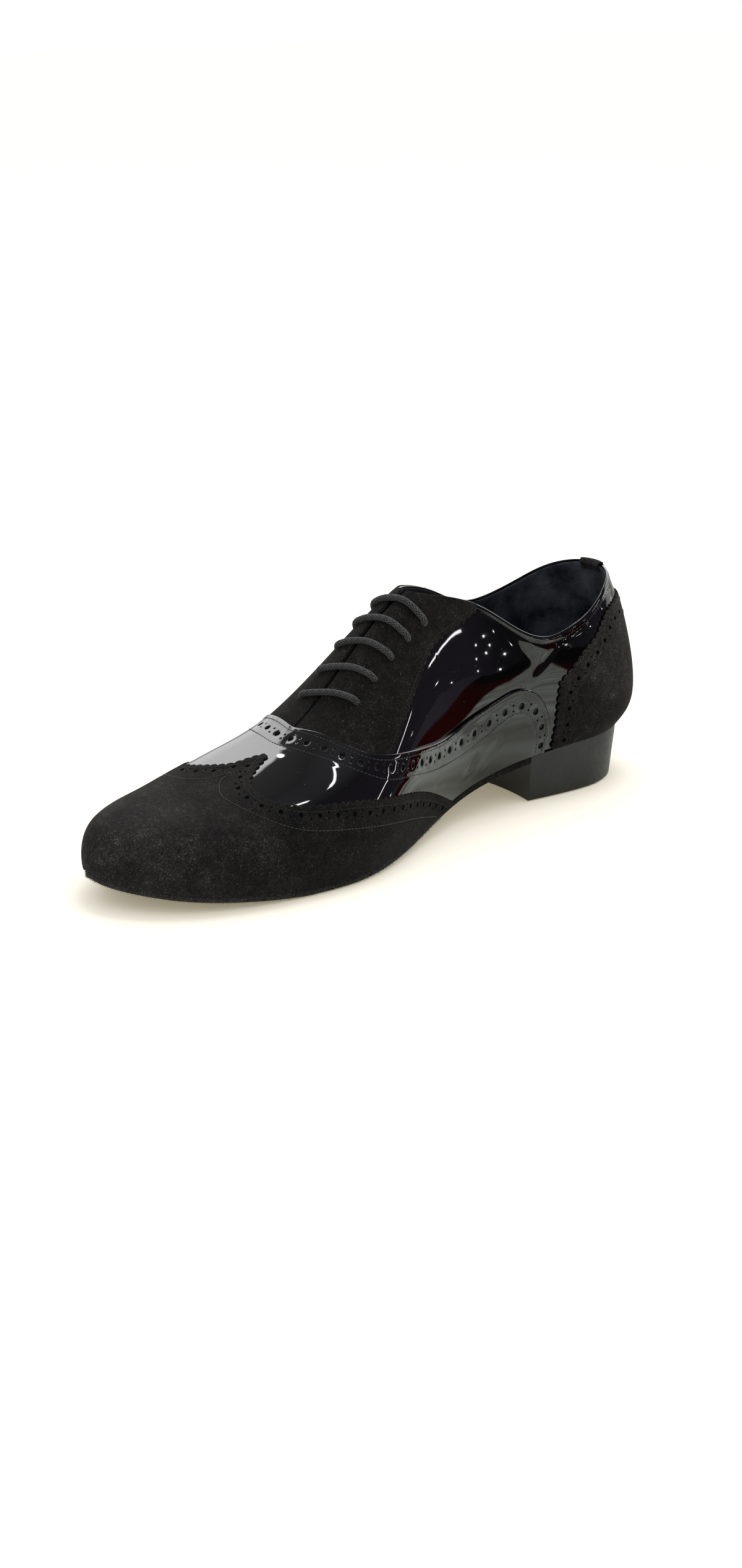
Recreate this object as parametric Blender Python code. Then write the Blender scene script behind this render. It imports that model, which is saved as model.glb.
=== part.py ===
"""A left dance shoe: a wing-tip oxford of suede and patent panels on a thin sole and a block heel.

Sizes are in millimetres until a point is placed in the scene. A point of the shoe has a station (from
the heel's back towards the toe), a distance across (the wearer's left is positive) and a height.
"""
import math

import bmesh
import bpy
import numpy as np
from mathutils import Vector
from mathutils.geometry import delaunay_2d_cdt

# Driving sizes of the last
LENGTH = 288.0
BALL_WIDTH = 100.0
INSTEP = 100.0
HEEL_SEAT = 27.0

# Each row is one section. Stations are shares of the length, widths of the ball width, floors of the
# heel seat's height and ridges of the instep; tuck is how far the wall pulls in at the sole, in mm.
# Belly and lift are shares of the section's height, hip and crown are shares of its half width.
LAST_COLUMNS = ("station", "left", "right", "tuck", "floor", "ridge", "belly", "hip", "lift", "crown")
LAST_ROWS = (
    (0.000, 0.340, 0.340, 10.0, 1.000, 1.160, 0.13, 0.82, 0.60, 0.45),
    (0.131, 0.335, 0.335, 4.5, 0.920, 1.160, 0.18, 0.87, 0.60, 0.45),
    (0.259, 0.285, 0.310, 3.0, 0.800, 1.150, 0.32, 0.84, 0.62, 0.42),
    (0.379, 0.270, 0.305, 3.0, 0.555, 1.085, 0.38, 0.80, 0.66, 0.36),
    (0.500, 0.375, 0.345, 3.0, 0.285, 0.893, 0.42, 0.82, 0.72, 0.28),
    (0.621, 0.510, 0.445, 3.0, 0.155, 0.575, 0.42, 0.79, 0.78, 0.33),
    (0.724, 0.525, 0.445, 3.0, 0.122, 0.435, 0.42, 0.83, 0.84, 0.40),
    (0.828, 0.470, 0.400, 3.0, 0.200, 0.355, 0.42, 0.86, 0.86, 0.42),
    (0.910, 0.367, 0.300, 2.8, 0.305, 0.332, 0.42, 0.86, 0.86, 0.45),
    (0.972, 0.202, 0.162, 2.0, 0.430, 0.295, 0.42, 0.86, 0.86, 0.45),
    (1.000, 0.000, 0.000, 0.0, 0.540, 0.146, 0.42, 0.86, 0.86, 0.45),
)
LOWER_TUCK = 0.35
LOWER_RISE = 0.4
HEEL_AXIS = 38.0
HEEL_REACH = 42.5

# Collar edge: station, height on the left and height on the right
COLLAR_ROWS = (
    (-6.0, 99.0, 99.0),
    (10.0, 97.0, 97.0),
    (25.0, 91.5, 92.0),
    (36.5, 84.2, 87.5),
    (48.0, 78.9, 84.5),
    (66.0, 75.8, 83.0),
    (77.5, 80.8, 86.0),
    (93.5, 92.5, 93.5),
    (111.5, 99.8, 99.8),
    (128.0, 103.0, 103.0),
)
FACING_TOP = 128.0
THROAT = 185.0
SLIT_BASE = 0.8
SLIT_TOP = 1.6

# Panel edges: station, and share of the way from the ridge (0) to the sole (1); the cap has a share
# for the left and one for the right, because its peak leans to the left of the ridge.
CAP_EDGE = (
    (201.0, 0.040, -0.040),
    (208.0, 0.095, 0.000),
    (215.0, 0.150, 0.060),
    (219.5, 0.200, 0.160),
    (222.5, 0.290, 0.280),
    (223.0, 0.380, 0.385),
    (220.3, 0.475, 0.475),
    (213.7, 0.540, 0.540),
    (196.7, 0.600, 0.600),
    (175.0, 0.680, 0.680),
    (141.0, 0.850, 0.850),
    (121.5, 1.000, 1.000),
)
BAND_EDGE = (
    (185.5, 0.00),
    (184.8, 0.07),
    (179.1, 0.345),
    (173.8, 0.454),
    (165.1, 0.526),
    (146.3, 0.612),
    (123.7, 0.681),
    (111.0, 0.682),
    (91.9, 0.671),
    (80.8, 0.668),
    (74.4, 0.695),
    (68.8, 0.756),
    (65.9, 0.834),
    (65.0, 0.916),
    (66.6, 1.00),
)
EYESTAY_REAR = (
    (97.0, 0.270),
    (109.0, 0.288),
    (127.4, 0.302),
    (134.6, 0.343),
    (142.5, 0.390),
    (153.5, 0.458),
    (164.0, 0.531),
)
# Counter edge: distance along the sole from the heel's back, and height up the wall
COUNTER_EDGE = (
    (0.0, 61.5),
    (20.0, 61.5),
    (35.0, 60.0),
    (49.0, 55.6),
    (59.0, 47.6),
    (65.0, 43.6),
    (72.0, 38.0),
    (80.5, 31.5),
)
COUNTER_FRONT = (
    (80.5, 31.5),
    (82.0, 22.5),
    (82.8, 12.0),
    (84.0, 0.0),
)
STRIP_HALF_WIDTH = 9.5

# Thicknesses and clearances
WALL = 1.6
GAP = 0.3
PANEL_GAP = 0.55
ROUND_GAP = 0.9
EYESTAY_GAP = 0.75
TONGUE_GAP = 1.35
PANEL_SEAM = 0.25
EYESTAY_THICK = 0.6
PANEL_THICK = 0.9
CAP_THICK = 1.0
PANEL_FOOT = 1.2
COUNTER_FOOT = 3.0
SOLE_THICK = 3.2
SOLE_MARGIN = 0.8
INSOLE_THICK = 2.0
INSOLE_INSET = 2.6
TONGUE_THICK = 1.8
TONGUE_HALF_WIDTH = 24.0
TONGUE_TOP = 122.0
TONGUE_BASE = 196.0

# Heel block
HEEL_LENGTH = 73.0
HEEL_TAPER = 1.8
HEEL_RAKE = 2.0
BREAST_HOLLOW = 3.0

# Lace bars, from the lowest to the highest
LACE_DIAMETER = 2.8
LACE_BARS = 5
LACE_FIRST = 166.0
LACE_PITCH = 10.0
LACE_SLANT = 7.0
LACE_STEPS = 9
EYELET_LEFT = 19.5
EYELET_RIGHT = 11.0

# The scene's origin, under the middle of the shoe's box
MIDDLE_STATION = 142.86
MIDDLE_ACROSS = 3.77
MM = 0.001

# Mesh steps
FAN_ROWS = 11
COLLAR_ROWS_COUNT = 10
FACING_ROWS_COUNT = 8
TOE_ROWS_COUNT = 16
WALL_COLUMNS = 13
PANEL_STEP = 7.5
ROUND_STEP = 6.0
CAP_CLEARANCE = 2.5
TOE_CROWDING = 1.7
HEEL_FAN_ROWS = 9
HEEL_FRONT_ROWS = 6
HEEL_COLUMNS = 7
EDGE_SAMPLES = 40
RISE_SAMPLES = 161
RUN_SAMPLES = 180
SHARE_SAMPLES = 81
HALVINGS = 40
MERGE = 0.5
RUN_NUDGE = 0.2
RISE_NUDGE = 0.002
SHARP_ANGLE = 40.0

# Finishes: colour, roughness, metallic
SUEDE = ((0.009, 0.0085, 0.008, 1.0), 0.95, 0.0)
PATENT = ((0.006, 0.006, 0.006, 1.0), 0.08, 0.0)
SATIN = ((0.012, 0.012, 0.012, 1.0), 0.42, 0.0)
LINING = ((0.012, 0.013, 0.018, 1.0), 0.9, 0.0)
CORD = ((0.022, 0.022, 0.023, 1.0), 0.8, 0.0)


# The last

def natural_spline(knots, values):
    """A natural cubic spline through the values, as a function."""
    knots = np.asarray(knots, float)
    values = np.asarray(values, float)
    steps = np.diff(knots)
    count = len(knots)
    matrix = np.eye(count)
    right = np.zeros(count)
    for i in range(1, count - 1):
        matrix[i, i - 1:i + 2] = steps[i - 1], 2 * (steps[i - 1] + steps[i]), steps[i]
        slopes = np.diff(values[i - 1:i + 2]) / steps[i - 1:i + 1]
        right[i] = 6 * (slopes[1] - slopes[0])
    bend = np.linalg.solve(matrix, right)

    def evaluate(at):
        at = np.asarray(at, float)
        i = np.clip(np.searchsorted(knots, at) - 1, 0, count - 2)
        near = knots[i + 1] - at
        far = at - knots[i]
        step = steps[i]
        cubic = (bend[i] * near ** 3 + bend[i + 1] * far ** 3) / (6 * step)
        linear_near = (values[i] / step - bend[i] * step / 6) * near
        linear_far = (values[i + 1] / step - bend[i + 1] * step / 6) * far
        return cubic + linear_near + linear_far

    return evaluate


def last_columns():
    """The last's sizes in millimetres or shares, as splines that close the toe round."""
    scales = {"left": BALL_WIDTH, "right": BALL_WIDTH, "floor": HEEL_SEAT, "ridge": INSTEP}
    rows = np.array(LAST_ROWS)[::-1]
    roundness = np.sqrt(1 - rows[:, 0])
    columns = {}
    for index, name in enumerate(LAST_COLUMNS[1:], 1):
        columns[name] = natural_spline(roundness, rows[:, index] * scales.get(name, 1.0))
    return columns


LAST = last_columns()
SECTION_KNOTS = np.array([0, 0, 0, 0, 1, 2, 3, 4, 5, 6, 7, 8, 8, 8, 8], float)
FAN_RUN = HEEL_AXIS * math.pi / 2
RUN_END = FAN_RUN + LENGTH - HEEL_AXIS


def last_size(name, station):
    share = np.clip(np.asarray(station, float) / LENGTH, 0, 1)
    return LAST[name](np.sqrt(1 - share))


def run_at(station):
    """Distance along the outline, for a station in front of the heel's axis."""
    return FAN_RUN + station - HEEL_AXIS


def section_weights(at):
    """Cubic B-spline weights of a section's control points."""
    at = np.clip(at, 0, SECTION_KNOTS[-1] - 1e-9)[..., None]
    weights = ((SECTION_KNOTS[:-1] <= at) & (at < SECTION_KNOTS[1:])).astype(float)
    for degree in (1, 2, 3):
        count = len(SECTION_KNOTS) - 1 - degree
        low = SECTION_KNOTS[:count]
        high = SECTION_KNOTS[degree + 1:]
        span_low = np.maximum(SECTION_KNOTS[degree:degree + count] - low, 1e-12)
        span_high = np.maximum(high - SECTION_KNOTS[1:count + 1], 1e-12)
        rising = (at - low) / span_low * weights[..., :count]
        falling = (high - at) / span_high * weights[..., 1:count + 1]
        weights = rising + falling
    return weights


def half_section(station, edge):
    """Control points of one side: sole edge, lower wall, belly, shoulder, crown and ridge."""
    floor = last_size("floor", station)
    ridge = last_size("ridge", station)
    height = ridge - floor
    tuck = last_size("tuck", station)
    belly = last_size("belly", station)
    points = (
        (edge - tuck, floor),
        (edge - LOWER_TUCK * tuck, floor + LOWER_RISE * belly * height),
        (edge, floor + belly * height),
        (edge * last_size("hip", station), floor + last_size("lift", station) * height),
        (edge * last_size("crown", station), ridge),
        (np.zeros_like(edge), ridge),
    )
    return np.stack([np.stack(point, -1) for point in points], -2)


def heel_radius(turn, side):
    """Radius of the heel's outline about its axis; it meets the waist without a kink."""
    name = "left" if side > 0 else "right"
    width = last_size(name, HEEL_AXIS)
    slope = last_size(name, HEEL_AXIS + 0.5) - last_size(name, HEEL_AXIS - 0.5)
    t = turn / (math.pi / 2)
    blend = t * t * (3 - 2 * t)
    lean = t * t * (t - 1)
    return HEEL_REACH + (width - HEEL_REACH) * blend + slope * width * (math.pi / 2) * lean


def last_point(run, side, rise):
    """Outer surface of the upper: run along the outline from the heel's back, rise 0 (sole) to 1 (ridge)."""
    run, rise = np.broadcast_arrays(np.asarray(run, float), np.asarray(rise, float))
    names = ("left", "right") if side > 0 else ("right", "left")
    in_fan = run < FAN_RUN
    turn = np.clip(run / HEEL_AXIS, 0, math.pi / 2)
    station = np.where(in_fan, HEEL_AXIS * (1 - np.cos(turn)), run - FAN_RUN + HEEL_AXIS)
    radius = heel_radius(turn, side)
    near = half_section(station, np.where(in_fan, radius, last_size(names[0], station)))
    far = half_section(station, np.where(in_fan, radius, last_size(names[1], station)))
    polygon = np.concatenate([near, far[..., -2::-1, :] * (-1, 1)], -2)
    out, height = np.moveaxis((section_weights(rise * 4)[..., None] * polygon).sum(-2), -1, 0)
    backward = np.where(in_fan, np.cos(turn), 0)
    sideways = np.where(in_fan, np.sin(turn), 1)
    along = np.where(in_fan, HEEL_AXIS, station) - backward * out
    return np.stack([along, side * sideways * out, height], -1)


def last_normal(run, side, rise):
    """Outward unit normal of the upper's outer surface; it has no lean across at the heel's back."""
    run = np.clip(run, 0, RUN_END - 2 * RUN_NUDGE)
    before = np.maximum(run - RUN_NUDGE, 0)
    below = np.maximum(rise - RISE_NUDGE, 0)
    forward = last_point(run + RUN_NUDGE, side, rise) - last_point(before, side, rise)
    upward = last_point(run, side, rise + RISE_NUDGE) - last_point(run, side, below)
    normal = np.cross(forward, upward) * -side
    normal[..., 1] = np.where(run == 0, 0, normal[..., 1])
    return normal / np.linalg.norm(normal, axis=-1, keepdims=True)


def upper_point(run, side, rise, lift):
    """A point at a height over the upper's outer surface; below it where lift is negative."""
    point = last_point(run, side, rise) + lift * last_normal(run, side, rise)
    tip = np.asarray(run)[..., None] >= RUN_END - 1e-6
    return np.where(tip, last_point(run, side, rise) + (lift, 0.0, 0.0), point)


# Distances measured on the wall

GIRTH_RUNS = (RUN_END - 0.02) * (1 - np.linspace(1, 0, RUN_SAMPLES) ** 2)
SHARES = np.linspace(0, 1, SHARE_SAMPLES)
RISES = np.linspace(0, 1, RISE_SAMPLES)


def wall_lengths(runs, side):
    """For each run: the length of the wall from the sole up to each of the rises."""
    points = last_point(runs[:, None], side, RISES[None])
    steps = np.linalg.norm(np.diff(points, axis=1), axis=2)
    return np.concatenate([np.zeros((len(runs), 1)), np.cumsum(steps, axis=1)], 1)


def height_up(runs, side, rise):
    """The length of the wall from the sole up to one rise for each run."""
    return np.array([np.interp(top, RISES, row) for top, row in zip(rise, wall_lengths(runs, side))])


def girth_tables(side):
    """For each run: the wall's length from sole to ridge, and the rise at even shares of it."""
    lengths = wall_lengths(GIRTH_RUNS, side)
    rises = np.stack([np.interp(SHARES, row / row[-1], RISES) for row in lengths])
    return lengths[:, -1], rises


def pattern_lengths():
    """For each run: the mean length of the wall's lengthwise lines up to there, as on a flat pattern."""
    shares = np.linspace(0, 1, 5)[None]
    steps = [np.diff(last_point(GIRTH_RUNS[:, None], side, shares), axis=0) for side in (1, -1)]
    lengths = np.mean([np.linalg.norm(step, axis=2).mean(1) for step in steps], axis=0)
    return np.concatenate([[0], np.cumsum(lengths)])


GIRTHS = {side: girth_tables(side) for side in (1, -1)}
PATTERN = pattern_lengths()


def girth(run, side):
    return np.interp(run, GIRTH_RUNS, GIRTHS[side][0])


def rise_at(run, side, share):
    """The rise at a share of the wall's length, counted from the sole."""
    table = GIRTHS[side][1]
    row = np.interp(run, GIRTH_RUNS, np.arange(len(GIRTH_RUNS)))
    column = np.clip(share, 0, 1) * (len(SHARES) - 1)
    i = np.clip(row.astype(int), 0, len(GIRTH_RUNS) - 2)
    j = np.clip(column.astype(int), 0, len(SHARES) - 2)
    a = row - i
    b = column - j
    low = table[i, j] * (1 - b) + table[i, j + 1] * b
    high = table[i + 1, j] * (1 - b) + table[i + 1, j + 1] * b
    return low * (1 - a) + high * a


def by_side(function, flat, lift):
    """Calls a side's chart for the points on that side of the middle line."""
    flat = np.asarray(flat, float)
    points = np.zeros((len(flat), 3))
    for side, chosen in ((1, flat[:, 1] >= 0), (-1, flat[:, 1] < 0)):
        if chosen.any():
            points[chosen] = function(flat[chosen, 0], np.abs(flat[chosen, 1]), side, lift)
    return points


def pattern_at(station):
    return np.interp(run_at(np.asarray(station, float)), GIRTH_RUNS, PATTERN)


def ridge_chart(flat, lift):
    """Flat points (length along the pattern, distance left of the ridge) to points of the shoe."""
    def place(length, distance, side, lift):
        run = np.interp(length, PATTERN, GIRTH_RUNS)
        share = 1 - distance / np.maximum(girth(run, side), 1e-6)
        return upper_point(run, side, rise_at(run, side, share), lift)

    return by_side(place, flat, lift)


def heel_chart(flat, lift):
    """Flat points (height up the wall, distance left of the heel's back) to points of the shoe."""
    def place(height, run, side, lift):
        return upper_point(run, side, rise_at(run, side, height / girth(run, side)), lift)

    return by_side(place, flat, lift)


# Flat outlines

def smooth_line(points, step):
    """A smooth line through the points, cut at even steps."""
    points = np.asarray(points, float)
    reach = np.concatenate([[0], np.cumsum(np.linalg.norm(np.diff(points, axis=0), axis=1))])
    curves = [natural_spline(reach, points[:, k]) for k in (0, 1)]
    fine = np.linspace(0, reach[-1], 400)
    dense = np.stack([curve(fine) for curve in curves], -1)
    return even_steps(dense, step)


def even_steps(dense, step):
    length = np.concatenate([[0], np.cumsum(np.linalg.norm(np.diff(dense, axis=0), axis=1))])
    count = max(2, int(round(length[-1] / step)) + 1)
    at = np.linspace(0, length[-1], count)
    return np.stack([np.interp(at, length, dense[:, k]) for k in (0, 1)], -1)


def edge_points(rows, side):
    """Rows of station and shares from the ridge, as flat points of the ridge chart."""
    rows = np.asarray(rows, float)
    shares = rows[:, 1] if side > 0 else rows[:, -1]
    return np.stack([pattern_at(rows[:, 0]), side * shares * girth(run_at(rows[:, 0]), side)], -1)


def sole_line(start, end, side, foot, step=PANEL_STEP):
    """The wall's lower edge between two stations, a little above the sole."""
    shares = np.sqrt(1 - np.array([start, end]) / LENGTH)
    stations = LENGTH * (1 - np.linspace(shares[0], shares[1], 300) ** 2)
    heights = girth(run_at(stations), side)
    return even_steps(np.stack([pattern_at(stations), side * np.maximum(heights - foot, 0)], -1), step)


def chain(*lines):
    """One closed outline from lines that follow each other; shared ends are kept once."""
    outline = []
    for line in lines:
        for point in line:
            if not outline or np.linalg.norm(point - outline[-1]) > MERGE:
                outline.append(point)
    if np.linalg.norm(outline[0] - outline[-1]) < MERGE:
        outline.pop()
    return np.array(outline)


def inset(outline, distance):
    """The outline moved inwards, so that neighbours keep a seam."""
    before = outline - np.roll(outline, 1, axis=0)
    after = np.roll(outline, -1, axis=0) - outline
    before /= np.linalg.norm(before, axis=1, keepdims=True)
    after /= np.linalg.norm(after, axis=1, keepdims=True)
    along = before + after
    along /= np.linalg.norm(along, axis=1, keepdims=True)
    inward = np.stack([-along[:, 1], along[:, 0]], -1)
    x, y = outline.T
    area = np.sum(x * np.roll(y, -1) - y * np.roll(x, -1))
    return outline + np.sign(area) * distance * inward


def inside(points, outline):
    """Which points lie in the outline."""
    x, y = points.T
    crossings = np.zeros(len(points), int)
    for start, end in zip(outline, np.roll(outline, -1, axis=0)):
        spans = (start[1] > y) != (end[1] > y)
        rise = np.where(end[1] == start[1], 1e-12, end[1] - start[1])
        crossings += spans & (x < (end[0] - start[0]) * (y - start[1]) / rise + start[0])
    return crossings % 2 == 1


def filling(outline, step):
    """Points of a triangle grid inside the outline, clear of its edge."""
    low = outline.min(0)
    high = outline.max(0)
    rows = np.arange(low[1], high[1], step * math.sqrt(3) / 2)
    grid = []
    for index, y in enumerate(rows):
        for x in np.arange(low[0] + (index % 2) * step / 2, high[0], step):
            grid.append((x, y))
    return kept_inside(np.array(grid), outline, 0.6 * step)


def kept_inside(points, outline, clearance):
    distance = np.min(np.linalg.norm(points[:, None] - outline[None], axis=2), axis=1)
    return points[inside(points, outline) & (distance > clearance)]


# Solids

def to_scene(points):
    """Shoe coordinates in millimetres to scene coordinates in metres; the toe points along -Y."""
    along, across, height = np.moveaxis(np.asarray(points, float), -1, 0)
    return np.stack([across - MIDDLE_ACROSS, MIDDLE_STATION - along, height], -1) * MM


def finish(name):
    """A material of its own for a piece."""
    colour, roughness, metallic = FINISHES[name]
    material = bpy.data.materials.new(name)
    material.use_nodes = True
    shader = material.node_tree.nodes["Principled BSDF"]
    shader.inputs["Base Color"].default_value = colour
    shader.inputs["Roughness"].default_value = roughness
    shader.inputs["Metallic"].default_value = metallic
    return material


def add_object(name, data, parent):
    data.materials.append(finish(name))
    piece = bpy.data.objects.new(name, data)
    bpy.context.scene.collection.objects.link(piece)
    piece.parent = parent
    return piece


def add_solid(name, points, faces, parent):
    """A closed solid from shoe points and faces; points that coincide are merged."""
    shape = bmesh.new()
    corners = [shape.verts.new(point) for point in to_scene(points)]
    for face in faces:
        shape.faces.new([corners[i] for i in face])
    bmesh.ops.remove_doubles(shape, verts=shape.verts, dist=0.001 * MM)
    bmesh.ops.dissolve_degenerate(shape, edges=shape.edges, dist=0.0001 * MM)
    bmesh.ops.recalc_face_normals(shape, faces=shape.faces)
    data = bpy.data.meshes.new(name)
    shape.to_mesh(data)
    shape.free()
    data.shade_smooth()
    data.set_sharp_from_angle(angle=math.radians(SHARP_ANGLE))
    return add_object(name, data, parent)


def add_panel(name, outline, fill, chart, low, high, parent):
    """A curved sheet over a flat outline and its inner points, between two heights over the wall."""
    corners = np.concatenate([outline, fill])
    loop = list(range(len(outline)))
    flat, _, triangles, _, _, _ = delaunay_2d_cdt([Vector(point) for point in corners], [], [loop], 1, 1e-6)
    flat = np.array(flat)
    count = len(flat)
    points = np.concatenate([chart(flat, high), chart(flat, low)])
    faces = [tuple(face) for face in triangles]
    faces += [tuple(i + count for i in reversed(face)) for face in triangles]
    directed = {(face[i - 1], face[i]) for face in triangles for i in range(3)}
    faces += [(b, a, a + count, b + count) for a, b in directed if (b, a) not in directed]
    return add_solid(name, points, faces, parent)


def wall_rows():
    """Runs of the upper's sections, with one at the facing's top and one at the throat."""
    fan = np.linspace(0, FAN_RUN, FAN_ROWS, endpoint=False)
    collar = run_at(np.linspace(HEEL_AXIS, FACING_TOP, COLLAR_ROWS_COUNT, endpoint=False))
    facing = run_at(np.linspace(FACING_TOP, THROAT, FACING_ROWS_COUNT, endpoint=False))
    toe = run_at(LENGTH - (LENGTH - THROAT) * np.linspace(1, 0, TOE_ROWS_COUNT) ** TOE_CROWDING)
    return np.concatenate([fan, collar, facing, toe])


def wall_nodes():
    """The wall's own grid in front of the heel, as flat points of the ridge chart."""
    runs = wall_rows()
    runs = runs[(runs > FAN_RUN) & (runs < RUN_END - 1e-6)]
    nodes = []
    for side in (1, -1):
        shares = np.linspace(0, 1, WALL_COLUMNS + 1)[1:]
        if side < 0:
            shares = shares[:-1]
        for run in runs:
            length = np.interp(run, GIRTH_RUNS, PATTERN)
            nodes += [(length, side * (1 - share) * girth(run, side)) for share in shares]
    return np.array(nodes)


def collar_height(run, side, station):
    """The collar edge's height; both sides meet at the heel's back."""
    rows = np.array(COLLAR_ROWS)
    left = natural_spline(rows[:, 0], rows[:, 1])(station)
    right = natural_spline(rows[:, 0], rows[:, 2])(station)
    own_share = 0.5 + 0.5 * np.clip(run / FAN_RUN, 0, 1)
    own, other = (left, right) if side > 0 else (right, left)
    return own * own_share + other * (1 - own_share)


def collar_rise(run, side):
    """The rise at which the wall meets the collar edge."""
    low = np.zeros_like(run)
    high = np.ones_like(run)
    for _ in range(HALVINGS):
        middle = (low + high) / 2
        point = last_point(run, side, middle)
        above = point[..., 2] > collar_height(run, side, point[..., 0])
        high = np.where(above, middle, high)
        low = np.where(above, low, middle)
    return low


def slit_width(station):
    """Half the gap between the facings."""
    share = (THROAT - station) / (THROAT - FACING_TOP)
    return np.where(share <= 0, 0, SLIT_BASE + (SLIT_TOP - SLIT_BASE) * share)


def wall_top(run, side):
    """The rise of the wall's upper edge: collar, then facing edge, then the closed ridge."""
    station = run - FAN_RUN + HEEL_AXIS
    facing = rise_at(run, side, 1 - slit_width(station) / girth(run, side))
    facing = np.where(station >= THROAT - 1e-6, 1.0, facing)
    return np.where(station < FACING_TOP - 1e-6, np.minimum(collar_rise(run, side), facing), facing)


def add_upper(parent):
    """The upper: one hollow wall, open at the collar, the throat and underneath."""
    runs = wall_rows()
    rows = len(runs)
    columns = WALL_COLUMNS + 1
    points = []
    faces = []
    for side in (1, -1):
        rise = wall_top(runs, side)[:, None] * np.linspace(0, 1, columns)[None]
        grid_runs = np.broadcast_to(runs[:, None], rise.shape)
        open_top = run_at(THROAT) - 1e-6
        outer, inner = len(points), len(points) + rise.size
        points += list(upper_point(grid_runs, side, rise, 0.0).reshape(-1, 3))
        points += list(upper_point(grid_runs, side, rise, -WALL).reshape(-1, 3))
        for i in range(rows - 1):
            for j in range(columns - 1):
                a, b = i * columns + j, (i + 1) * columns + j
                faces.append((outer + a, outer + b, outer + b + 1, outer + a + 1))
                faces.append((inner + a, inner + a + 1, inner + b + 1, inner + b))
            rims = [i * columns]
            if runs[i] < open_top:
                rims.append(i * columns + columns - 1)
            for rim in rims:
                faces.append((outer + rim, outer + rim + columns, inner + rim + columns, inner + rim))
    return add_solid("upper", points, faces, parent)


def sole_outline(runs, margin):
    """The sole's edge on both sides, moved outwards by a margin, as plan points with the floor's height."""
    loop = [last_point(runs, 1, np.zeros_like(runs)), last_point(runs, -1, np.zeros_like(runs))[::-1]]
    closed = np.concatenate([loop[0], loop[1][1:-1]])
    along = np.roll(closed, -1, axis=0) - np.roll(closed, 1, axis=0)
    outward = np.stack([along[:, 1], -along[:, 0]], -1)
    outward /= -np.linalg.norm(outward, axis=1, keepdims=True)
    closed[:, :2] += margin * outward
    left = closed[:len(runs)]
    right = np.concatenate([closed[:1], closed[:len(runs) - 2:-1]])
    return left, right


def add_plate(name, runs, margin, top, bottom, parent):
    """A plate across the sole, between two heights that follow the floor."""
    points = []
    for edge in sole_outline(runs, margin):
        for level in (top, bottom):
            layer = edge.copy()
            layer[:, 2] = level(edge[:, 2])
            points += list(layer)
    count = len(runs)
    left_top, left_low, right_top, right_low = (k * count for k in range(4))
    faces = []
    for i in range(count - 1):
        for near, far in ((left_top, right_top), (right_low, left_low)):
            faces.append((near + i, near + i + 1, far + i + 1, far + i))
        for near, far in ((left_low, left_top), (right_top, right_low)):
            faces.append((near + i, near + i + 1, far + i + 1, far + i))
    return add_solid(name, points, faces, parent)


def sole_top(floor):
    return floor - GAP


def sole_bottom(floor):
    """The tread; it lies flat on the ground under the ball."""
    return np.maximum(floor - GAP - SOLE_THICK, 0)


def add_heel(parent):
    """The block heel: it follows the seat, narrows a little downwards and has a hollow breast."""
    fan_runs = np.linspace(0, FAN_RUN, HEEL_FAN_ROWS, endpoint=False)
    runs = np.concatenate([fan_runs, run_at(np.linspace(HEEL_AXIS, HEEL_LENGTH, HEEL_FRONT_ROWS))])
    whole = wall_rows()
    across = np.linspace(0, 1, HEEL_COLUMNS)
    hollow = BREAST_HOLLOW * (1 - (2 * across - 1) ** 2)
    margin = SOLE_MARGIN / 2
    points = []
    for inward, rake, share in ((0.0, 0.0, 1.0), (HEEL_TAPER, HEEL_RAKE, 0.0)):
        edges = []
        for edge in sole_outline(whole, margin - inward):
            edges.append(np.stack([np.interp(runs, whole, edge[:, k]) for k in range(3)], -1))
        left, right = edges
        grid = left[:, None] + (right - left)[:, None] * across[None, :, None]
        forward = np.clip(grid[..., 0] / HEEL_LENGTH, 0, 1)
        grid[..., 0] += rake * (1 - forward) - hollow * forward ** 4
        grid[..., 2] = share * (sole_bottom(grid[..., 2]) - GAP)
        points += list(grid.reshape(-1, 3))
    rows, columns = len(runs), len(across)
    low = rows * columns
    faces = []
    for i in range(rows - 1):
        for j in range(columns - 1):
            a, b = i * columns + j, (i + 1) * columns + j
            faces.append((a, b, b + 1, a + 1))
            faces.append((low + a, low + a + 1, low + b + 1, low + b))
        for rim in (i * columns, i * columns + columns - 1):
            faces.append((rim, rim + columns, low + rim + columns, low + rim))
    front = (rows - 1) * columns
    for j in range(columns - 1):
        faces.append((front + j, front + j + 1, low + front + j + 1, low + front + j))
    return add_solid("heel", points, faces, parent)


# Panels over the upper

def add_toe_cap(parent):
    """The wing cap: from the toe back to its peak on the ridge and its two wings along the sole."""
    lines = []
    for side in (1, -1):
        edge = smooth_line(edge_points(CAP_EDGE, side), ROUND_STEP)
        foot = sole_line(CAP_EDGE[-1][0], LENGTH, side, PANEL_FOOT, ROUND_STEP)
        lines.append(np.concatenate([edge[:-1], foot[1:]]))
    outline = inset(chain(lines[0], lines[1][::-1]), PANEL_SEAM)
    fill = kept_inside(wall_nodes(), outline, CAP_CLEARANCE)
    return add_panel("toe_cap", outline, fill, ridge_chart, ROUND_GAP, ROUND_GAP + CAP_THICK, parent)


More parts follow.
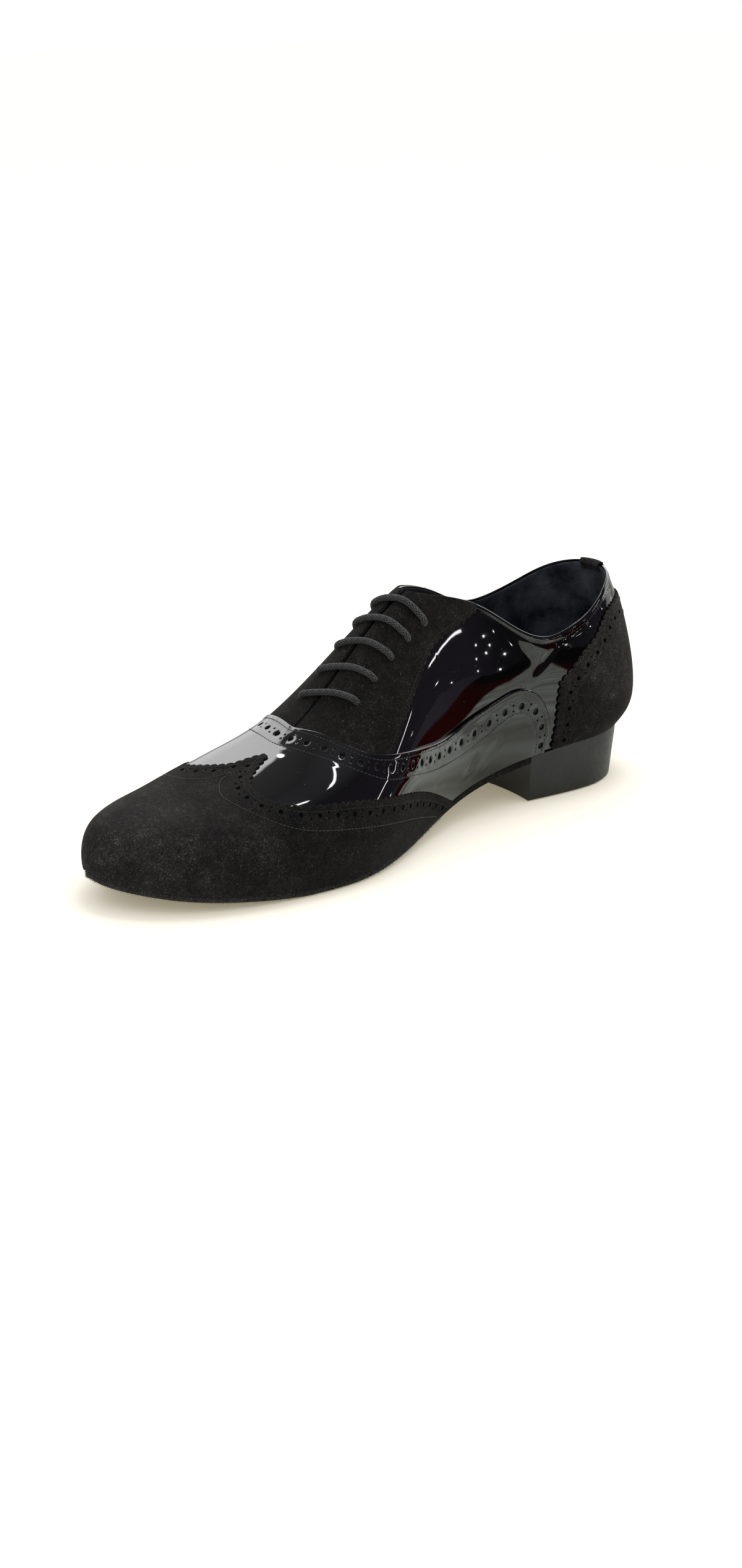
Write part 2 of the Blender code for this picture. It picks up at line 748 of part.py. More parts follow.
def add_vamp(parent):
    """The vamp: between the cap and the swan-neck band, back to a round end in front of the counter."""
    lines = []
    for side in (1, -1):
        band = smooth_line(edge_points(BAND_EDGE, side), PANEL_STEP)
        foot = sole_line(BAND_EDGE[-1][0], CAP_EDGE[-1][0], side, PANEL_FOOT)
        cap = smooth_line(edge_points(CAP_EDGE, side), PANEL_STEP)[::-1]
        lines.append(np.concatenate([band[:-1], foot[1:-1], cap[1:]]))
    outline = inset(chain(lines[0], lines[1][::-1]), PANEL_SEAM)
    fill = filling(outline, PANEL_STEP)
    return add_panel("vamp", outline, fill, ridge_chart, PANEL_GAP, PANEL_GAP + PANEL_THICK, parent)


def add_eyestay(name, side, parent):
    """A facing: from the slit to its rear edge, from the collar down to the band."""
    stations = np.linspace(THROAT - MERGE, FACING_TOP, EDGE_SAMPLES)
    slit = even_steps(np.stack([pattern_at(stations), side * slit_width(stations)], -1), PANEL_STEP)
    rear_top = EYESTAY_REAR[0][0]
    collar_stations = np.linspace(FACING_TOP, rear_top, EDGE_SAMPLES)
    runs = run_at(collar_stations)
    from_ridge = girth(runs, side) - height_up(runs, side, wall_top(runs, side))
    collar = even_steps(np.stack([pattern_at(collar_stations), side * from_ridge], -1), PANEL_STEP)
    rear = smooth_line(edge_points(EYESTAY_REAR, side), PANEL_STEP)
    band_rows = [row for row in BAND_EDGE if row[0] >= EYESTAY_REAR[-1][0]]
    band = smooth_line(edge_points(band_rows, side), PANEL_STEP)[::-1]
    outline = inset(chain(slit, collar, rear[1:], band[1:-1]), PANEL_SEAM)
    fill = filling(outline, PANEL_STEP)
    return add_panel(name, outline, fill, ridge_chart, EYESTAY_GAP, EYESTAY_GAP + EYESTAY_THICK, parent)


def add_counter(parent):
    """The heel counter: one piece round the back, with a corner on each side."""
    top = smooth_line([(height, run) for run, height in COUNTER_EDGE], ROUND_STEP)
    front = smooth_line([(max(height, COUNTER_FOOT), run) for run, height in COUNTER_FRONT], ROUND_STEP)
    foot_run = np.arange(COUNTER_FRONT[-1][0], 0, -ROUND_STEP)[1:]
    foot = np.stack([np.full_like(foot_run, COUNTER_FOOT), foot_run], -1)
    left = np.concatenate([top[:-1], front, foot])
    right = (left * (1, -1))[::-1]
    outline = inset(chain(left, right), PANEL_SEAM)
    fill = filling(outline, ROUND_STEP)
    return add_panel("counter", outline, fill, heel_chart, ROUND_GAP, ROUND_GAP + PANEL_THICK, parent)


def add_back_strip(parent):
    """The strip over the back seam, from the counter up to the collar."""
    run = np.linspace(0, STRIP_HALF_WIDTH, 3)
    top = np.stack([height_up(run, 1, wall_top(run, 1)), run], -1)
    bottom = np.stack([np.full_like(run, COUNTER_EDGE[0][1]), run], -1)[::-1]
    side_line = even_steps(np.array([top[-1], bottom[0]]), ROUND_STEP)[1:-1]
    left = np.concatenate([top, side_line, bottom])
    right = (left * (1, -1))[::-1]
    outline = inset(chain(left, right), PANEL_SEAM)
    fill = filling(outline, ROUND_STEP)
    return add_panel("back_strip", outline, fill, heel_chart, PANEL_GAP, PANEL_GAP + PANEL_THICK, parent)


def add_tongue(parent):
    """The tongue: a sheet under the facings, from behind the vamp to just over the facing's top."""
    width = TONGUE_HALF_WIDTH
    base, top = pattern_at(TONGUE_BASE), pattern_at(TONGUE_TOP)
    corners = ((base, -width), (base, width), (top, width), (top, -width))
    sides = [np.linspace(start, end, 12)[:-1] for start, end in zip(corners, corners[1:] + corners[:1])]
    outline = chain(*[even_steps(line, PANEL_STEP) for line in sides])
    high = -WALL - TONGUE_GAP
    fill = filling(outline, PANEL_STEP)
    return add_panel("tongue", outline, fill, ridge_chart, high - TONGUE_THICK, high, parent)


def add_lace_bar(index, parent):
    """One straight bar of the lace, across the slit from eyelet to eyelet."""
    near = LACE_FIRST - index * LACE_PITCH
    ends = ((pattern_at(near), EYELET_LEFT), (pattern_at(near + LACE_SLANT), -EYELET_RIGHT))
    flat = np.linspace(*ends, LACE_STEPS)
    lift = EYESTAY_GAP + EYESTAY_THICK + GAP + LACE_DIAMETER / 2
    path = to_scene(ridge_chart(flat, lift))
    name = f"lace_bar_{index + 1}"
    cord = bpy.data.curves.new(name, "CURVE")
    cord.dimensions = "3D"
    cord.bevel_depth = LACE_DIAMETER / 2 * MM
    cord.bevel_resolution = 2
    cord.use_fill_caps = True
    spline = cord.splines.new("POLY")
    spline.points.add(len(path) - 1)
    for point, place in zip(spline.points, path):
        point.co = (*place, 1.0)
    return add_object(name, cord, parent)


FINISHES = {
    "upper": PATENT,
    "outsole": SUEDE,
    "heel": SATIN,
    "insole": LINING,
    "tongue": SUEDE,
    "toe_cap": SUEDE,
    "vamp": PATENT,
    "eyestay_left": SUEDE,
    "eyestay_right": SUEDE,
    "counter": SUEDE,
    "back_strip": SUEDE,
}
FINISHES.update({f"lace_bar_{number + 1}": CORD for number in range(LACE_BARS)})


def main():
    for leftover in list(bpy.data.objects):
        bpy.data.objects.remove(leftover)
    shoe = bpy.data.objects.new("shoe", None)
    bpy.context.scene.collection.objects.link(shoe)
    runs = wall_rows()
    add_plate("outsole", runs, SOLE_MARGIN, sole_top, sole_bottom, shoe)
    add_heel(shoe)
    add_plate("insole", runs, -INSOLE_INSET, lambda floor: floor + INSOLE_THICK, lambda floor: floor, shoe)
    add_upper(shoe)
    add_tongue(shoe)
    add_toe_cap(shoe)
    add_vamp(shoe)
    add_eyestay("eyestay_left", 1, shoe)
    add_eyestay("eyestay_right", -1, shoe)
    add_counter(shoe)
    add_back_strip(shoe)
    for index in range(LACE_BARS):
        add_lace_bar(index, shoe)


main()
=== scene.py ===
"""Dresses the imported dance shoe: suede and patent panels with pinked and folded edges, punched brogue
holes, stitching, a braided lace run through its eyelets, a napped sole and a satin heel.

Shoe sizes are in millimetres until a point is placed in the scene. A point of the shoe has a station
(from the heel's back towards the toe), a distance across (the wearer's left is positive) and a height.
"""
import math

import bmesh
import bpy
import numpy as np
from bpy.props import FloatProperty, FloatVectorProperty, IntProperty, PointerProperty
from mathutils import Matrix, Vector
from mathutils.geometry import delaunay_2d_cdt
from mathutils.kdtree import KDTree


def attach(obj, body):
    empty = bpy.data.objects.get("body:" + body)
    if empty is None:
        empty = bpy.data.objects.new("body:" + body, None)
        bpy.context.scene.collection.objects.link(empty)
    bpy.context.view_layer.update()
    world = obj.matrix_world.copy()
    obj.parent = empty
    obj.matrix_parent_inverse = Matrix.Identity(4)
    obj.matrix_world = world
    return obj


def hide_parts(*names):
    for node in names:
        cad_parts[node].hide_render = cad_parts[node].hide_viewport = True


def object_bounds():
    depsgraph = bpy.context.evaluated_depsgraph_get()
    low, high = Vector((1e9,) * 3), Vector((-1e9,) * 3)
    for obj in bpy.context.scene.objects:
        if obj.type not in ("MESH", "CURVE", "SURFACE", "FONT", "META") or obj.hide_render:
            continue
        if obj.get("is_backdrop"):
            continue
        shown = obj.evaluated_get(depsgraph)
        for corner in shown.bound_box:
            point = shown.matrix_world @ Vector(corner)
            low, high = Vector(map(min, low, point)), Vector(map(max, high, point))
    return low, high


bl_info = {
    "name": "Dance Shoe",
    "version": (1, 0, 0),
    "blender": (4, 5, 0),
    "location": "3D View > Sidebar > Dance Shoe",
    "description": "Dresses a wing-tip dance oxford of suede and patent leather",
    "category": "Object",
}

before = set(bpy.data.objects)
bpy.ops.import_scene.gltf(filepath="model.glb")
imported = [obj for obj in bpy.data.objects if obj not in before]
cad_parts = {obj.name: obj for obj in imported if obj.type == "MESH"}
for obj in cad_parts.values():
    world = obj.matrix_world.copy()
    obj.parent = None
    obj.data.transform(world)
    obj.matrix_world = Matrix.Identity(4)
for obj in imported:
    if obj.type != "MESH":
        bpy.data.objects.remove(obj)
CAD_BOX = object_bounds()

# Sizes of the last, as in the solids
LENGTH = 288.0
BALL_WIDTH = 100.0
INSTEP = 100.0
HEEL_SEAT = 27.0
LAST_COLUMNS = ("station", "left", "right", "tuck", "floor", "ridge", "belly", "hip", "lift", "crown")
LAST_ROWS = (
    (0.000, 0.340, 0.340, 10.0, 1.000, 1.160, 0.13, 0.82, 0.60, 0.45),
    (0.131, 0.335, 0.335, 4.5, 0.920, 1.160, 0.18, 0.87, 0.60, 0.45),
    (0.259, 0.285, 0.310, 3.0, 0.800, 1.150, 0.32, 0.84, 0.62, 0.42),
    (0.379, 0.270, 0.305, 3.0, 0.555, 1.085, 0.38, 0.80, 0.66, 0.36),
    (0.500, 0.375, 0.345, 3.0, 0.285, 0.893, 0.42, 0.82, 0.72, 0.28),
    (0.621, 0.510, 0.445, 3.0, 0.155, 0.575, 0.42, 0.79, 0.78, 0.33),
    (0.724, 0.525, 0.445, 3.0, 0.122, 0.435, 0.42, 0.83, 0.84, 0.40),
    (0.828, 0.470, 0.400, 3.0, 0.200, 0.355, 0.42, 0.86, 0.86, 0.42),
    (0.910, 0.367, 0.300, 2.8, 0.305, 0.332, 0.42, 0.86, 0.86, 0.45),
    (0.972, 0.202, 0.162, 2.0, 0.430, 0.295, 0.42, 0.86, 0.86, 0.45),
    (1.000, 0.000, 0.000, 0.0, 0.540, 0.146, 0.42, 0.86, 0.86, 0.45),
)
LOWER_TUCK = 0.35
LOWER_RISE = 0.4
HEEL_AXIS = 38.0
HEEL_REACH = 42.5
COLLAR_ROWS = (
    (-6.0, 99.0, 99.0),
    (10.0, 97.0, 97.0),
    (25.0, 91.5, 92.0),
    (36.5, 84.2, 87.5),
    (48.0, 78.9, 84.5),
    (66.0, 75.8, 83.0),
    (77.5, 80.8, 86.0),
    (93.5, 92.5, 93.5),
    (111.5, 99.8, 99.8),
    (128.0, 103.0, 103.0),
)
FACING_TOP = 128.0
THROAT = 185.0
SLIT_BASE = 0.8
SLIT_TOP = 1.6
MIDDLE_STATION = 142.86
MIDDLE_ACROSS = 3.77
MM = 0.001

# Panel edges: station, and share of the way from the ridge (0) to the sole (1)
CAP_EDGE = (
    (203.5, 0.064, -0.020),
    (208.0, 0.097, 0.000),
    (215.0, 0.150, 0.060),
    (219.5, 0.200, 0.160),
    (222.5, 0.290, 0.280),
    (223.0, 0.380, 0.385),
    (220.3, 0.475, 0.475),
    (213.7, 0.540, 0.540),
    (196.7, 0.600, 0.600),
    (175.0, 0.680, 0.680),
    (141.0, 0.850, 0.850),
    (121.5, 1.000, 1.000),
)
CAP_STITCH = (
    (220.5, 0.020, -0.020),
    (225.3, 0.045, 0.010),
    (230.1, 0.110, 0.090),
    (233.6, 0.210, 0.210),
    (233.9, 0.330, 0.330),
    (231.1, 0.500, 0.500),
    (220.5, 0.645, 0.645),
    (201.2, 0.721, 0.721),
    (186.3, 0.764, 0.764),
    (163.0, 0.850, 0.850),
    (141.0, 0.960, 0.960),
    (134.0, 1.000, 1.000),
)
BAND_EDGE = (
    (185.5, 0.000),
    (184.8, 0.070),
    (179.1, 0.345),
    (173.8, 0.454),
    (165.1, 0.526),
    (146.3, 0.612),
    (123.7, 0.681),
    (111.0, 0.682),
    (91.9, 0.671),
    (80.8, 0.668),
    (74.4, 0.695),
    (68.8, 0.756),
    (65.9, 0.834),
    (65.0, 0.916),
    (66.6, 1.000),
)
BAND_STITCH = (
    (196.0, 0.000),
    (195.2, 0.106),
    (190.1, 0.332),
    (181.0, 0.509),
    (172.8, 0.598),
    (159.3, 0.667),
    (135.3, 0.771),
    (117.0, 0.809),
    (98.2, 0.795),
    (89.0, 0.770),
    (82.3, 0.766),
    (76.5, 0.796),
    (73.1, 0.849),
    (71.7, 0.894),
    (72.0, 1.000),
)
EYESTAY_REAR = (
    (97.0, 0.270),
    (109.0, 0.288),
    (127.4, 0.302),
    (134.6, 0.343),
    (142.5, 0.390),
    (153.5, 0.458),
    (164.0, 0.531),
)
# Counter edge: distance along the sole from the heel's back, and height up the wall
COUNTER_EDGE = (
    (0.0, 61.5),
    (20.0, 61.5),
    (35.0, 60.0),
    (49.0, 55.6),
    (59.0, 47.6),
    (65.0, 43.6),
    (72.0, 38.0),
    (80.5, 31.5),
)
COUNTER_FRONT = (
    (80.5, 31.5),
    (82.0, 22.5),
    (82.8, 12.0),
    (84.0, 0.0),
)
STRIP_HALF_WIDTH = 9.5
STRIP_SKIN = 0.8
STRIP_ROWS = 26

# Heights of each layer over the upper's outer surface
SKIN_THICK = 0.9
LINING_THICK = 0.8
EYESTAY_LAYER = (0.12, 0.85)
VAMP_LAYER = (0.12, 1.30)
CAP_LAYER = (1.36, 2.00)
COUNTER_LAYER = (0.12, 1.35)
STRIP_LAYER = (0.12, 1.10)
TONGUE_LAYER = (-4.75, -2.95)
TONGUE_HALF_WIDTH = 24.0
TONGUE_TOP = 122.0
TONGUE_BASE = 196.0

# Panel edges, seams and brogue rows
FOOT = 0.25
SUEDE_ROUNDING = 0.22
PATENT_ROUNDING = 0.3
FACING_ROUNDING = 0.2
TONGUE_ROUNDING = 0.5
TONGUE_CROWN = 6.0
CAP_OVERLAP = 3.0
CAP_SEAM = 2.6
BAND_SEAM = 2.1
FACING_SEAM = 2.4
COUNTER_SEAMS = (2.6, 9.0)
TOPLINE_SEAM = 2.6
CAP_HOLE_SHARE = 0.45
BAND_HOLE_SHARE = 0.58
BAND_PITCH_FACTOR = 1.08
BAND_HOLE_FACTOR = 1.35
COUNTER_HOLE_ROW = 5.6
COUNTER_PITCH_FACTOR = 0.86
PIN_SPREAD = 1.2
BAND_PIN_SPREAD = 1.3
HOLE_CLEARANCE = 1.0
SMALL_HOLE = 0.8
EYELET_FACTOR = 0.54

# Sole, heel and insole
GAP = 0.3
SOLE_THICK = 3.2
SOLE_MARGIN = 0.8
NAP_START = 130.0
INSOLE_THICK = 2.0
INSOLE_INSET = 2.6
HEEL_LENGTH = 73.0
HEEL_TAPER = 1.8
HEEL_RAKE = 2.0
BREAST_HOLLOW = 3.0
HEEL_LEVELS = (1.0, 0.97, 0.9, 0.75, 0.6, 0.45, 0.3, 0.15, 0.05, 0.02, 0.0)
HEEL_MARGIN = 0.35
HEEL_ROUNDING = 0.5
SEAT_START = 2.0
SEAT_REACH = 6.0
SEAT_INSET = 1.1

# Lace
LACE_BARS = 5
LACE_FIRST = 166.0
LACE_PITCH = 10.0
LACE_SLANT = 7.0
EYELET_LEFT = 19.5
EYELET_RIGHT = 11.0
RING_STEP = 0.24
RING_POINTS = 32
BRAID_STRANDS = 7
BRAID_PITCH = 1.8
BRAID_BULGE = 0.17
BRAID_MIDDLE = 0.75
FLAT_WIDENING = 0.25
FLAT_THINNING = 0.62

# Stitches and sole nap
STITCH_SHARE = 0.45
STITCH_HALF_WIDTH = 0.24
STITCH_HALF_HEIGHT = 0.20
STITCH_SINK = 0.05
FIBRE_DENSITY = 9.0e6
FIBRE_LENGTH = 1.1
FIBRE_RADIUS = 0.06

# The camera that the photograph was taken with
CAMERA_TURN = 51.575
CAMERA_RISE = 19.654
CAMERA_ROLL = -0.816
CAMERA_PLACE = (0.71863, -0.57454, 0.34760)
FOCAL_PIXELS = 3600.0
PHOTO_HEIGHT = 2536.0
SENSOR = 36.0


# The last

def natural_spline(knots, values):
    """A natural cubic spline through the values, as a function."""
    knots = np.asarray(knots, float)
    values = np.asarray(values, float)
    steps = np.diff(knots)
    count = len(knots)
    matrix = np.eye(count)
    right = np.zeros(count)
    for i in range(1, count - 1):
        matrix[i, i - 1:i + 2] = steps[i - 1], 2 * (steps[i - 1] + steps[i]), steps[i]
        slopes = np.diff(values[i - 1:i + 2]) / steps[i - 1:i + 1]
        right[i] = 6 * (slopes[1] - slopes[0])
    bend = np.linalg.solve(matrix, right)

    def evaluate(at):
        at = np.asarray(at, float)
        i = np.clip(np.searchsorted(knots, at) - 1, 0, count - 2)
        near = knots[i + 1] - at
        far = at - knots[i]
        step = steps[i]
        cubic = (bend[i] * near ** 3 + bend[i + 1] * far ** 3) / (6 * step)
        linear_near = (values[i] / step - bend[i] * step / 6) * near
        linear_far = (values[i + 1] / step - bend[i + 1] * step / 6) * far
        return cubic + linear_near + linear_far

    return evaluate


def last_columns():
    """The last's sizes in millimetres or shares, as splines that close the toe round."""
    scales = {"left": BALL_WIDTH, "right": BALL_WIDTH, "floor": HEEL_SEAT, "ridge": INSTEP}
    rows = np.array(LAST_ROWS)[::-1]
    roundness = np.sqrt(1 - rows[:, 0])
    columns = {}
    for index, name in enumerate(LAST_COLUMNS[1:], 1):
        columns[name] = natural_spline(roundness, rows[:, index] * scales.get(name, 1.0))
    return columns


LAST = last_columns()
SECTION_KNOTS = np.array([0, 0, 0, 0, 1, 2, 3, 4, 5, 6, 7, 8, 8, 8, 8], float)
FAN_RUN = HEEL_AXIS * math.pi / 2
RUN_END = FAN_RUN + LENGTH - HEEL_AXIS
RUN_NUDGE = 0.2
RISE_NUDGE = 0.002


def last_size(name, station):
    share = np.clip(np.asarray(station, float) / LENGTH, 0, 1)
    return LAST[name](np.sqrt(1 - share))


def run_at(station):
    """Distance along the outline, for a station in front of the heel's axis."""
    return FAN_RUN + station - HEEL_AXIS


def section_weights(at):
    """Cubic B-spline weights of a section's control points."""
    at = np.clip(at, 0, SECTION_KNOTS[-1] - 1e-9)[..., None]
    weights = ((SECTION_KNOTS[:-1] <= at) & (at < SECTION_KNOTS[1:])).astype(float)
    for degree in (1, 2, 3):
        count = len(SECTION_KNOTS) - 1 - degree
        low = SECTION_KNOTS[:count]
        high = SECTION_KNOTS[degree + 1:]
        span_low = np.maximum(SECTION_KNOTS[degree:degree + count] - low, 1e-12)
        span_high = np.maximum(high - SECTION_KNOTS[1:count + 1], 1e-12)
        rising = (at - low) / span_low * weights[..., :count]
        falling = (high - at) / span_high * weights[..., 1:count + 1]
        weights = rising + falling
    return weights


def half_section(station, edge):
    """Control points of one side: sole edge, lower wall, belly, shoulder, crown and ridge."""
    floor = last_size("floor", station)
    ridge = last_size("ridge", station)
    height = ridge - floor
    tuck = last_size("tuck", station)
    belly = last_size("belly", station)
    points = (
        (edge - tuck, floor),
        (edge - LOWER_TUCK * tuck, floor + LOWER_RISE * belly * height),
        (edge, floor + belly * height),
        (edge * last_size("hip", station), floor + last_size("lift", station) * height),
        (edge * last_size("crown", station), ridge),
        (np.zeros_like(edge), ridge),
    )
    return np.stack([np.stack(point, -1) for point in points], -2)


def heel_radius(turn, side):
    """Radius of the heel's outline about its axis; it meets the waist without a kink."""
    name = "left" if side > 0 else "right"
    width = last_size(name, HEEL_AXIS)
    slope = last_size(name, HEEL_AXIS + 0.5) - last_size(name, HEEL_AXIS - 0.5)
    t = turn / (math.pi / 2)
    blend = t * t * (3 - 2 * t)
    lean = t * t * (t - 1)
    return HEEL_REACH + (width - HEEL_REACH) * blend + slope * width * (math.pi / 2) * lean


def last_point(run, side, rise):
    """Outer surface of the upper: run along the outline from the heel's back, rise 0 (sole) to 1 (ridge)."""
    run, rise = np.broadcast_arrays(np.asarray(run, float), np.asarray(rise, float))
    names = ("left", "right") if side > 0 else ("right", "left")
    in_fan = run < FAN_RUN
    turn = np.clip(run / HEEL_AXIS, 0, math.pi / 2)
    station = np.where(in_fan, HEEL_AXIS * (1 - np.cos(turn)), run - FAN_RUN + HEEL_AXIS)
    radius = heel_radius(turn, side)
    near = half_section(station, np.where(in_fan, radius, last_size(names[0], station)))
    far = half_section(station, np.where(in_fan, radius, last_size(names[1], station)))
    polygon = np.concatenate([near, far[..., -2::-1, :] * (-1, 1)], -2)
    out, height = np.moveaxis((section_weights(rise * 4)[..., None] * polygon).sum(-2), -1, 0)
    backward = np.where(in_fan, np.cos(turn), 0)
    sideways = np.where(in_fan, np.sin(turn), 1)
    along = np.where(in_fan, HEEL_AXIS, station) - backward * out
    return np.stack([along, side * sideways * out, height], -1)


def last_normal(run, side, rise):
    """Outward unit normal of the upper's outer surface; it has no lean across at the heel's back."""
    run = np.clip(run, 0, RUN_END - 2 * RUN_NUDGE)
    before = np.maximum(run - RUN_NUDGE, 0)
    below = np.maximum(rise - RISE_NUDGE, 0)
    forward = last_point(run + RUN_NUDGE, side, rise) - last_point(before, side, rise)
    upward = last_point(run, side, rise + RISE_NUDGE) - last_point(run, side, below)
    normal = np.cross(forward, upward) * -side
    normal[..., 1] = np.where(run == 0, 0, normal[..., 1])
    return normal / np.maximum(np.linalg.norm(normal, axis=-1, keepdims=True), 1e-12)


def upper_point(run, side, rise, lift):
    """A point at a height over the upper's outer surface; below it where lift is negative."""
    run, rise, lift = np.broadcast_arrays(np.asarray(run, float), np.asarray(rise, float), lift)
    base = last_point(run, side, rise)
    tip = (run >= RUN_END - 1e-6)[..., None]
    normal = np.where(tip, (1.0, 0.0, 0.0), last_normal(run, side, rise))
    return base + lift[..., None] * normal


# Distances measured on the wall

GIRTH_RUNS = (RUN_END - 0.02) * (1 - np.linspace(1, 0, 180) ** 2)
SHARES = np.linspace(0, 1, 81)
RISES = np.linspace(0, 1, 161)


def wall_lengths(runs, side):
    """For each run: the length of the wall from the sole up to each of the rises."""
    points = last_point(runs[:, None], side, RISES[None])
    steps = np.linalg.norm(np.diff(points, axis=1), axis=2)
    return np.concatenate([np.zeros((len(runs), 1)), np.cumsum(steps, axis=1)], 1)


def height_up(runs, side, rise):
    """The length of the wall from the sole up to one rise for each run."""
    return np.array([np.interp(top, RISES, row) for top, row in zip(rise, wall_lengths(runs, side))])


def girth_tables(side):
    """For each run: the wall's length from sole to ridge, and the rise at even shares of it."""
    lengths = wall_lengths(GIRTH_RUNS, side)
    rises = np.stack([np.interp(SHARES, row / row[-1], RISES) for row in lengths])
    return lengths[:, -1], rises


def pattern_lengths():
    """For each run: the mean length of the wall's lengthwise lines up to there, as on a flat pattern."""
    shares = np.linspace(0, 1, 5)[None]
    steps = [np.diff(last_point(GIRTH_RUNS[:, None], side, shares), axis=0) for side in (1, -1)]
    lengths = np.mean([np.linalg.norm(step, axis=2).mean(1) for step in steps], axis=0)
    return np.concatenate([[0], np.cumsum(lengths)])


GIRTHS = {side: girth_tables(side) for side in (1, -1)}
PATTERN = pattern_lengths()


def girth(run, side):
    return np.interp(run, GIRTH_RUNS, GIRTHS[side][0])


def rise_at(run, side, share):
    """The rise at a share of the wall's length, counted from the sole."""
    table = GIRTHS[side][1]
    row = np.interp(run, GIRTH_RUNS, np.arange(len(GIRTH_RUNS)))
    column = np.clip(share, 0, 1) * (len(SHARES) - 1)
    i = np.clip(row.astype(int), 0, len(GIRTH_RUNS) - 2)
    j = np.clip(column.astype(int), 0, len(SHARES) - 2)
    a = row - i
    b = column - j
    low = table[i, j] * (1 - b) + table[i, j + 1] * b
    high = table[i + 1, j] * (1 - b) + table[i + 1, j + 1] * b
    return low * (1 - a) + high * a


def by_side(place, flat, lift):
    """Calls a side's chart for the points on that side of the middle line."""
    flat = np.asarray(flat, float)
    lift = np.broadcast_to(np.asarray(lift, float), len(flat))
    points = np.zeros((len(flat), 3))
    for side, chosen in ((1, flat[:, 1] >= 0), (-1, flat[:, 1] < 0)):
        if chosen.any():
            points[chosen] = place(flat[chosen, 0], np.abs(flat[chosen, 1]), side, lift[chosen])
    return points


def pattern_at(station):
    return np.interp(run_at(np.asarray(station, float)), GIRTH_RUNS, PATTERN)


def ridge_chart(flat, lift):
    """Flat points (length along the pattern, distance left of the ridge) to points of the shoe."""
    def place(length, distance, side, lift):
        run = np.interp(length, PATTERN, GIRTH_RUNS)
        share = 1 - distance / np.maximum(girth(run, side), 1e-6)
        return upper_point(run, side, rise_at(run, side, share), lift)

    return by_side(place, flat, lift)


def heel_chart(flat, lift):
    """Flat points (height up the wall, distance left of the heel's back) to points of the shoe."""
    def place(height, run, side, lift):
        return upper_point(run, side, rise_at(run, side, height / girth(run, side)), lift)

    return by_side(place, flat, lift)


def collar_height(run, side, station):
    """The collar edge's height; both sides meet at the heel's back."""
    rows = np.array(COLLAR_ROWS)
    left = natural_spline(rows[:, 0], rows[:, 1])(station)
    right = natural_spline(rows[:, 0], rows[:, 2])(station)
    own_share = 0.5 + 0.5 * np.clip(run / FAN_RUN, 0, 1)
    own, other = (left, right) if side > 0 else (right, left)
    return own * own_share + other * (1 - own_share)


def collar_rise(run, side):
    """The rise at which the wall meets the collar edge."""
    low = np.zeros_like(run)
    high = np.ones_like(run)
    for _ in range(30):
        middle = (low + high) / 2
        point = last_point(run, side, middle)
        above = point[..., 2] > collar_height(run, side, point[..., 0])
        high = np.where(above, middle, high)
        low = np.where(above, low, middle)
    return low


def slit_width(station):
    """Half the gap between the facings."""
    share = (THROAT - station) / (THROAT - FACING_TOP)
    return np.where(share <= 0, 0, SLIT_BASE + (SLIT_TOP - SLIT_BASE) * share)


def wall_top(run, side):
    """The rise of the wall's upper edge: collar, then facing edge, then the closed ridge."""
    station = run - FAN_RUN + HEEL_AXIS
    facing = rise_at(run, side, 1 - slit_width(station) / girth(run, side))
    facing = np.where(station >= THROAT - 1e-6, 1.0, facing)
    return np.where(station < FACING_TOP - 1e-6, np.minimum(collar_rise(run, side), facing), facing)


# Flat lines

def path_length(line):
    return np.concatenate([[0], np.cumsum(np.linalg.norm(np.diff(line, axis=0), axis=1))])


def along(line, at):
    """Points at given distances along a line."""
    length = path_length(line)
    return np.stack([np.interp(at, length, line[:, k]) for k in range(line.shape[1])], -1)


def even_steps(line, step):
    reach = path_length(line)[-1]
    return along(line, np.linspace(0, reach, max(2, int(round(reach / step)) + 1)))


def smooth_line(points, step):
    """A smooth line through the points, cut at even steps."""
    points = np.asarray(points, float)
    reach = path_length(points)
    curves = [natural_spline(reach, points[:, k]) for k in range(points.shape[1])]
    fine = np.linspace(0, reach[-1], 1200)
    return even_steps(np.stack([curve(fine) for curve in curves], -1), step)


def edge_points(rows, side):
    """Rows of station and shares from the ridge, as flat points of the ridge chart."""
    rows = np.asarray(rows, float)
    shares = rows[:, 1] if side > 0 else rows[:, -1]
    return np.stack([pattern_at(rows[:, 0]), side * shares * girth(run_at(rows[:, 0]), side)], -1)


def across_line(rows, step):
    """An edge that runs from the left sole over the ridge to the right sole, as one smooth line."""
    left = edge_points(rows, 1)[::-1]
    right = edge_points(rows, -1)
    return smooth_line(np.concatenate([left, right[1:]]), step)


def line_sides(line):
    """The unit directions to the left of a line."""
    forward = np.gradient(line, axis=0)
    forward /= np.maximum(np.linalg.norm(forward, axis=1, keepdims=True), 1e-9)
    return np.stack([-forward[:, 1], forward[:, 0]], -1)


def shifted(line, distance):
    """The line moved to its left; what would come closer to it than the distance is left out."""
    moved = line + distance * line_sides(line)
    return clear_of(moved, line, 0.96 * abs(distance))


def pinked(line, pitch, depth):
    """The line cut into round teeth that stand out to its left."""
    reach = path_length(line)[-1]
    teeth = max(1, int(round(reach / pitch)))
    at = np.linspace(0, 1, teeth * 8 + 1)
    base = along(line, at * reach)
    height = depth * (np.abs(np.sin(math.pi * teeth * at)) ** 0.85 - 0.6)
    return base + height[:, None] * line_sides(base)


def sole_line(start, end, side, foot, step):
    """The wall's lower edge between two stations, a little above the sole."""
    shares = np.sqrt(1 - np.array([start, end]) / LENGTH)
    stations = LENGTH * (1 - np.linspace(shares[0], shares[1], 500) ** 2)
    heights = girth(run_at(stations), side)
    return even_steps(np.stack([pattern_at(stations), side * np.maximum(heights - foot, 0)], -1), step)


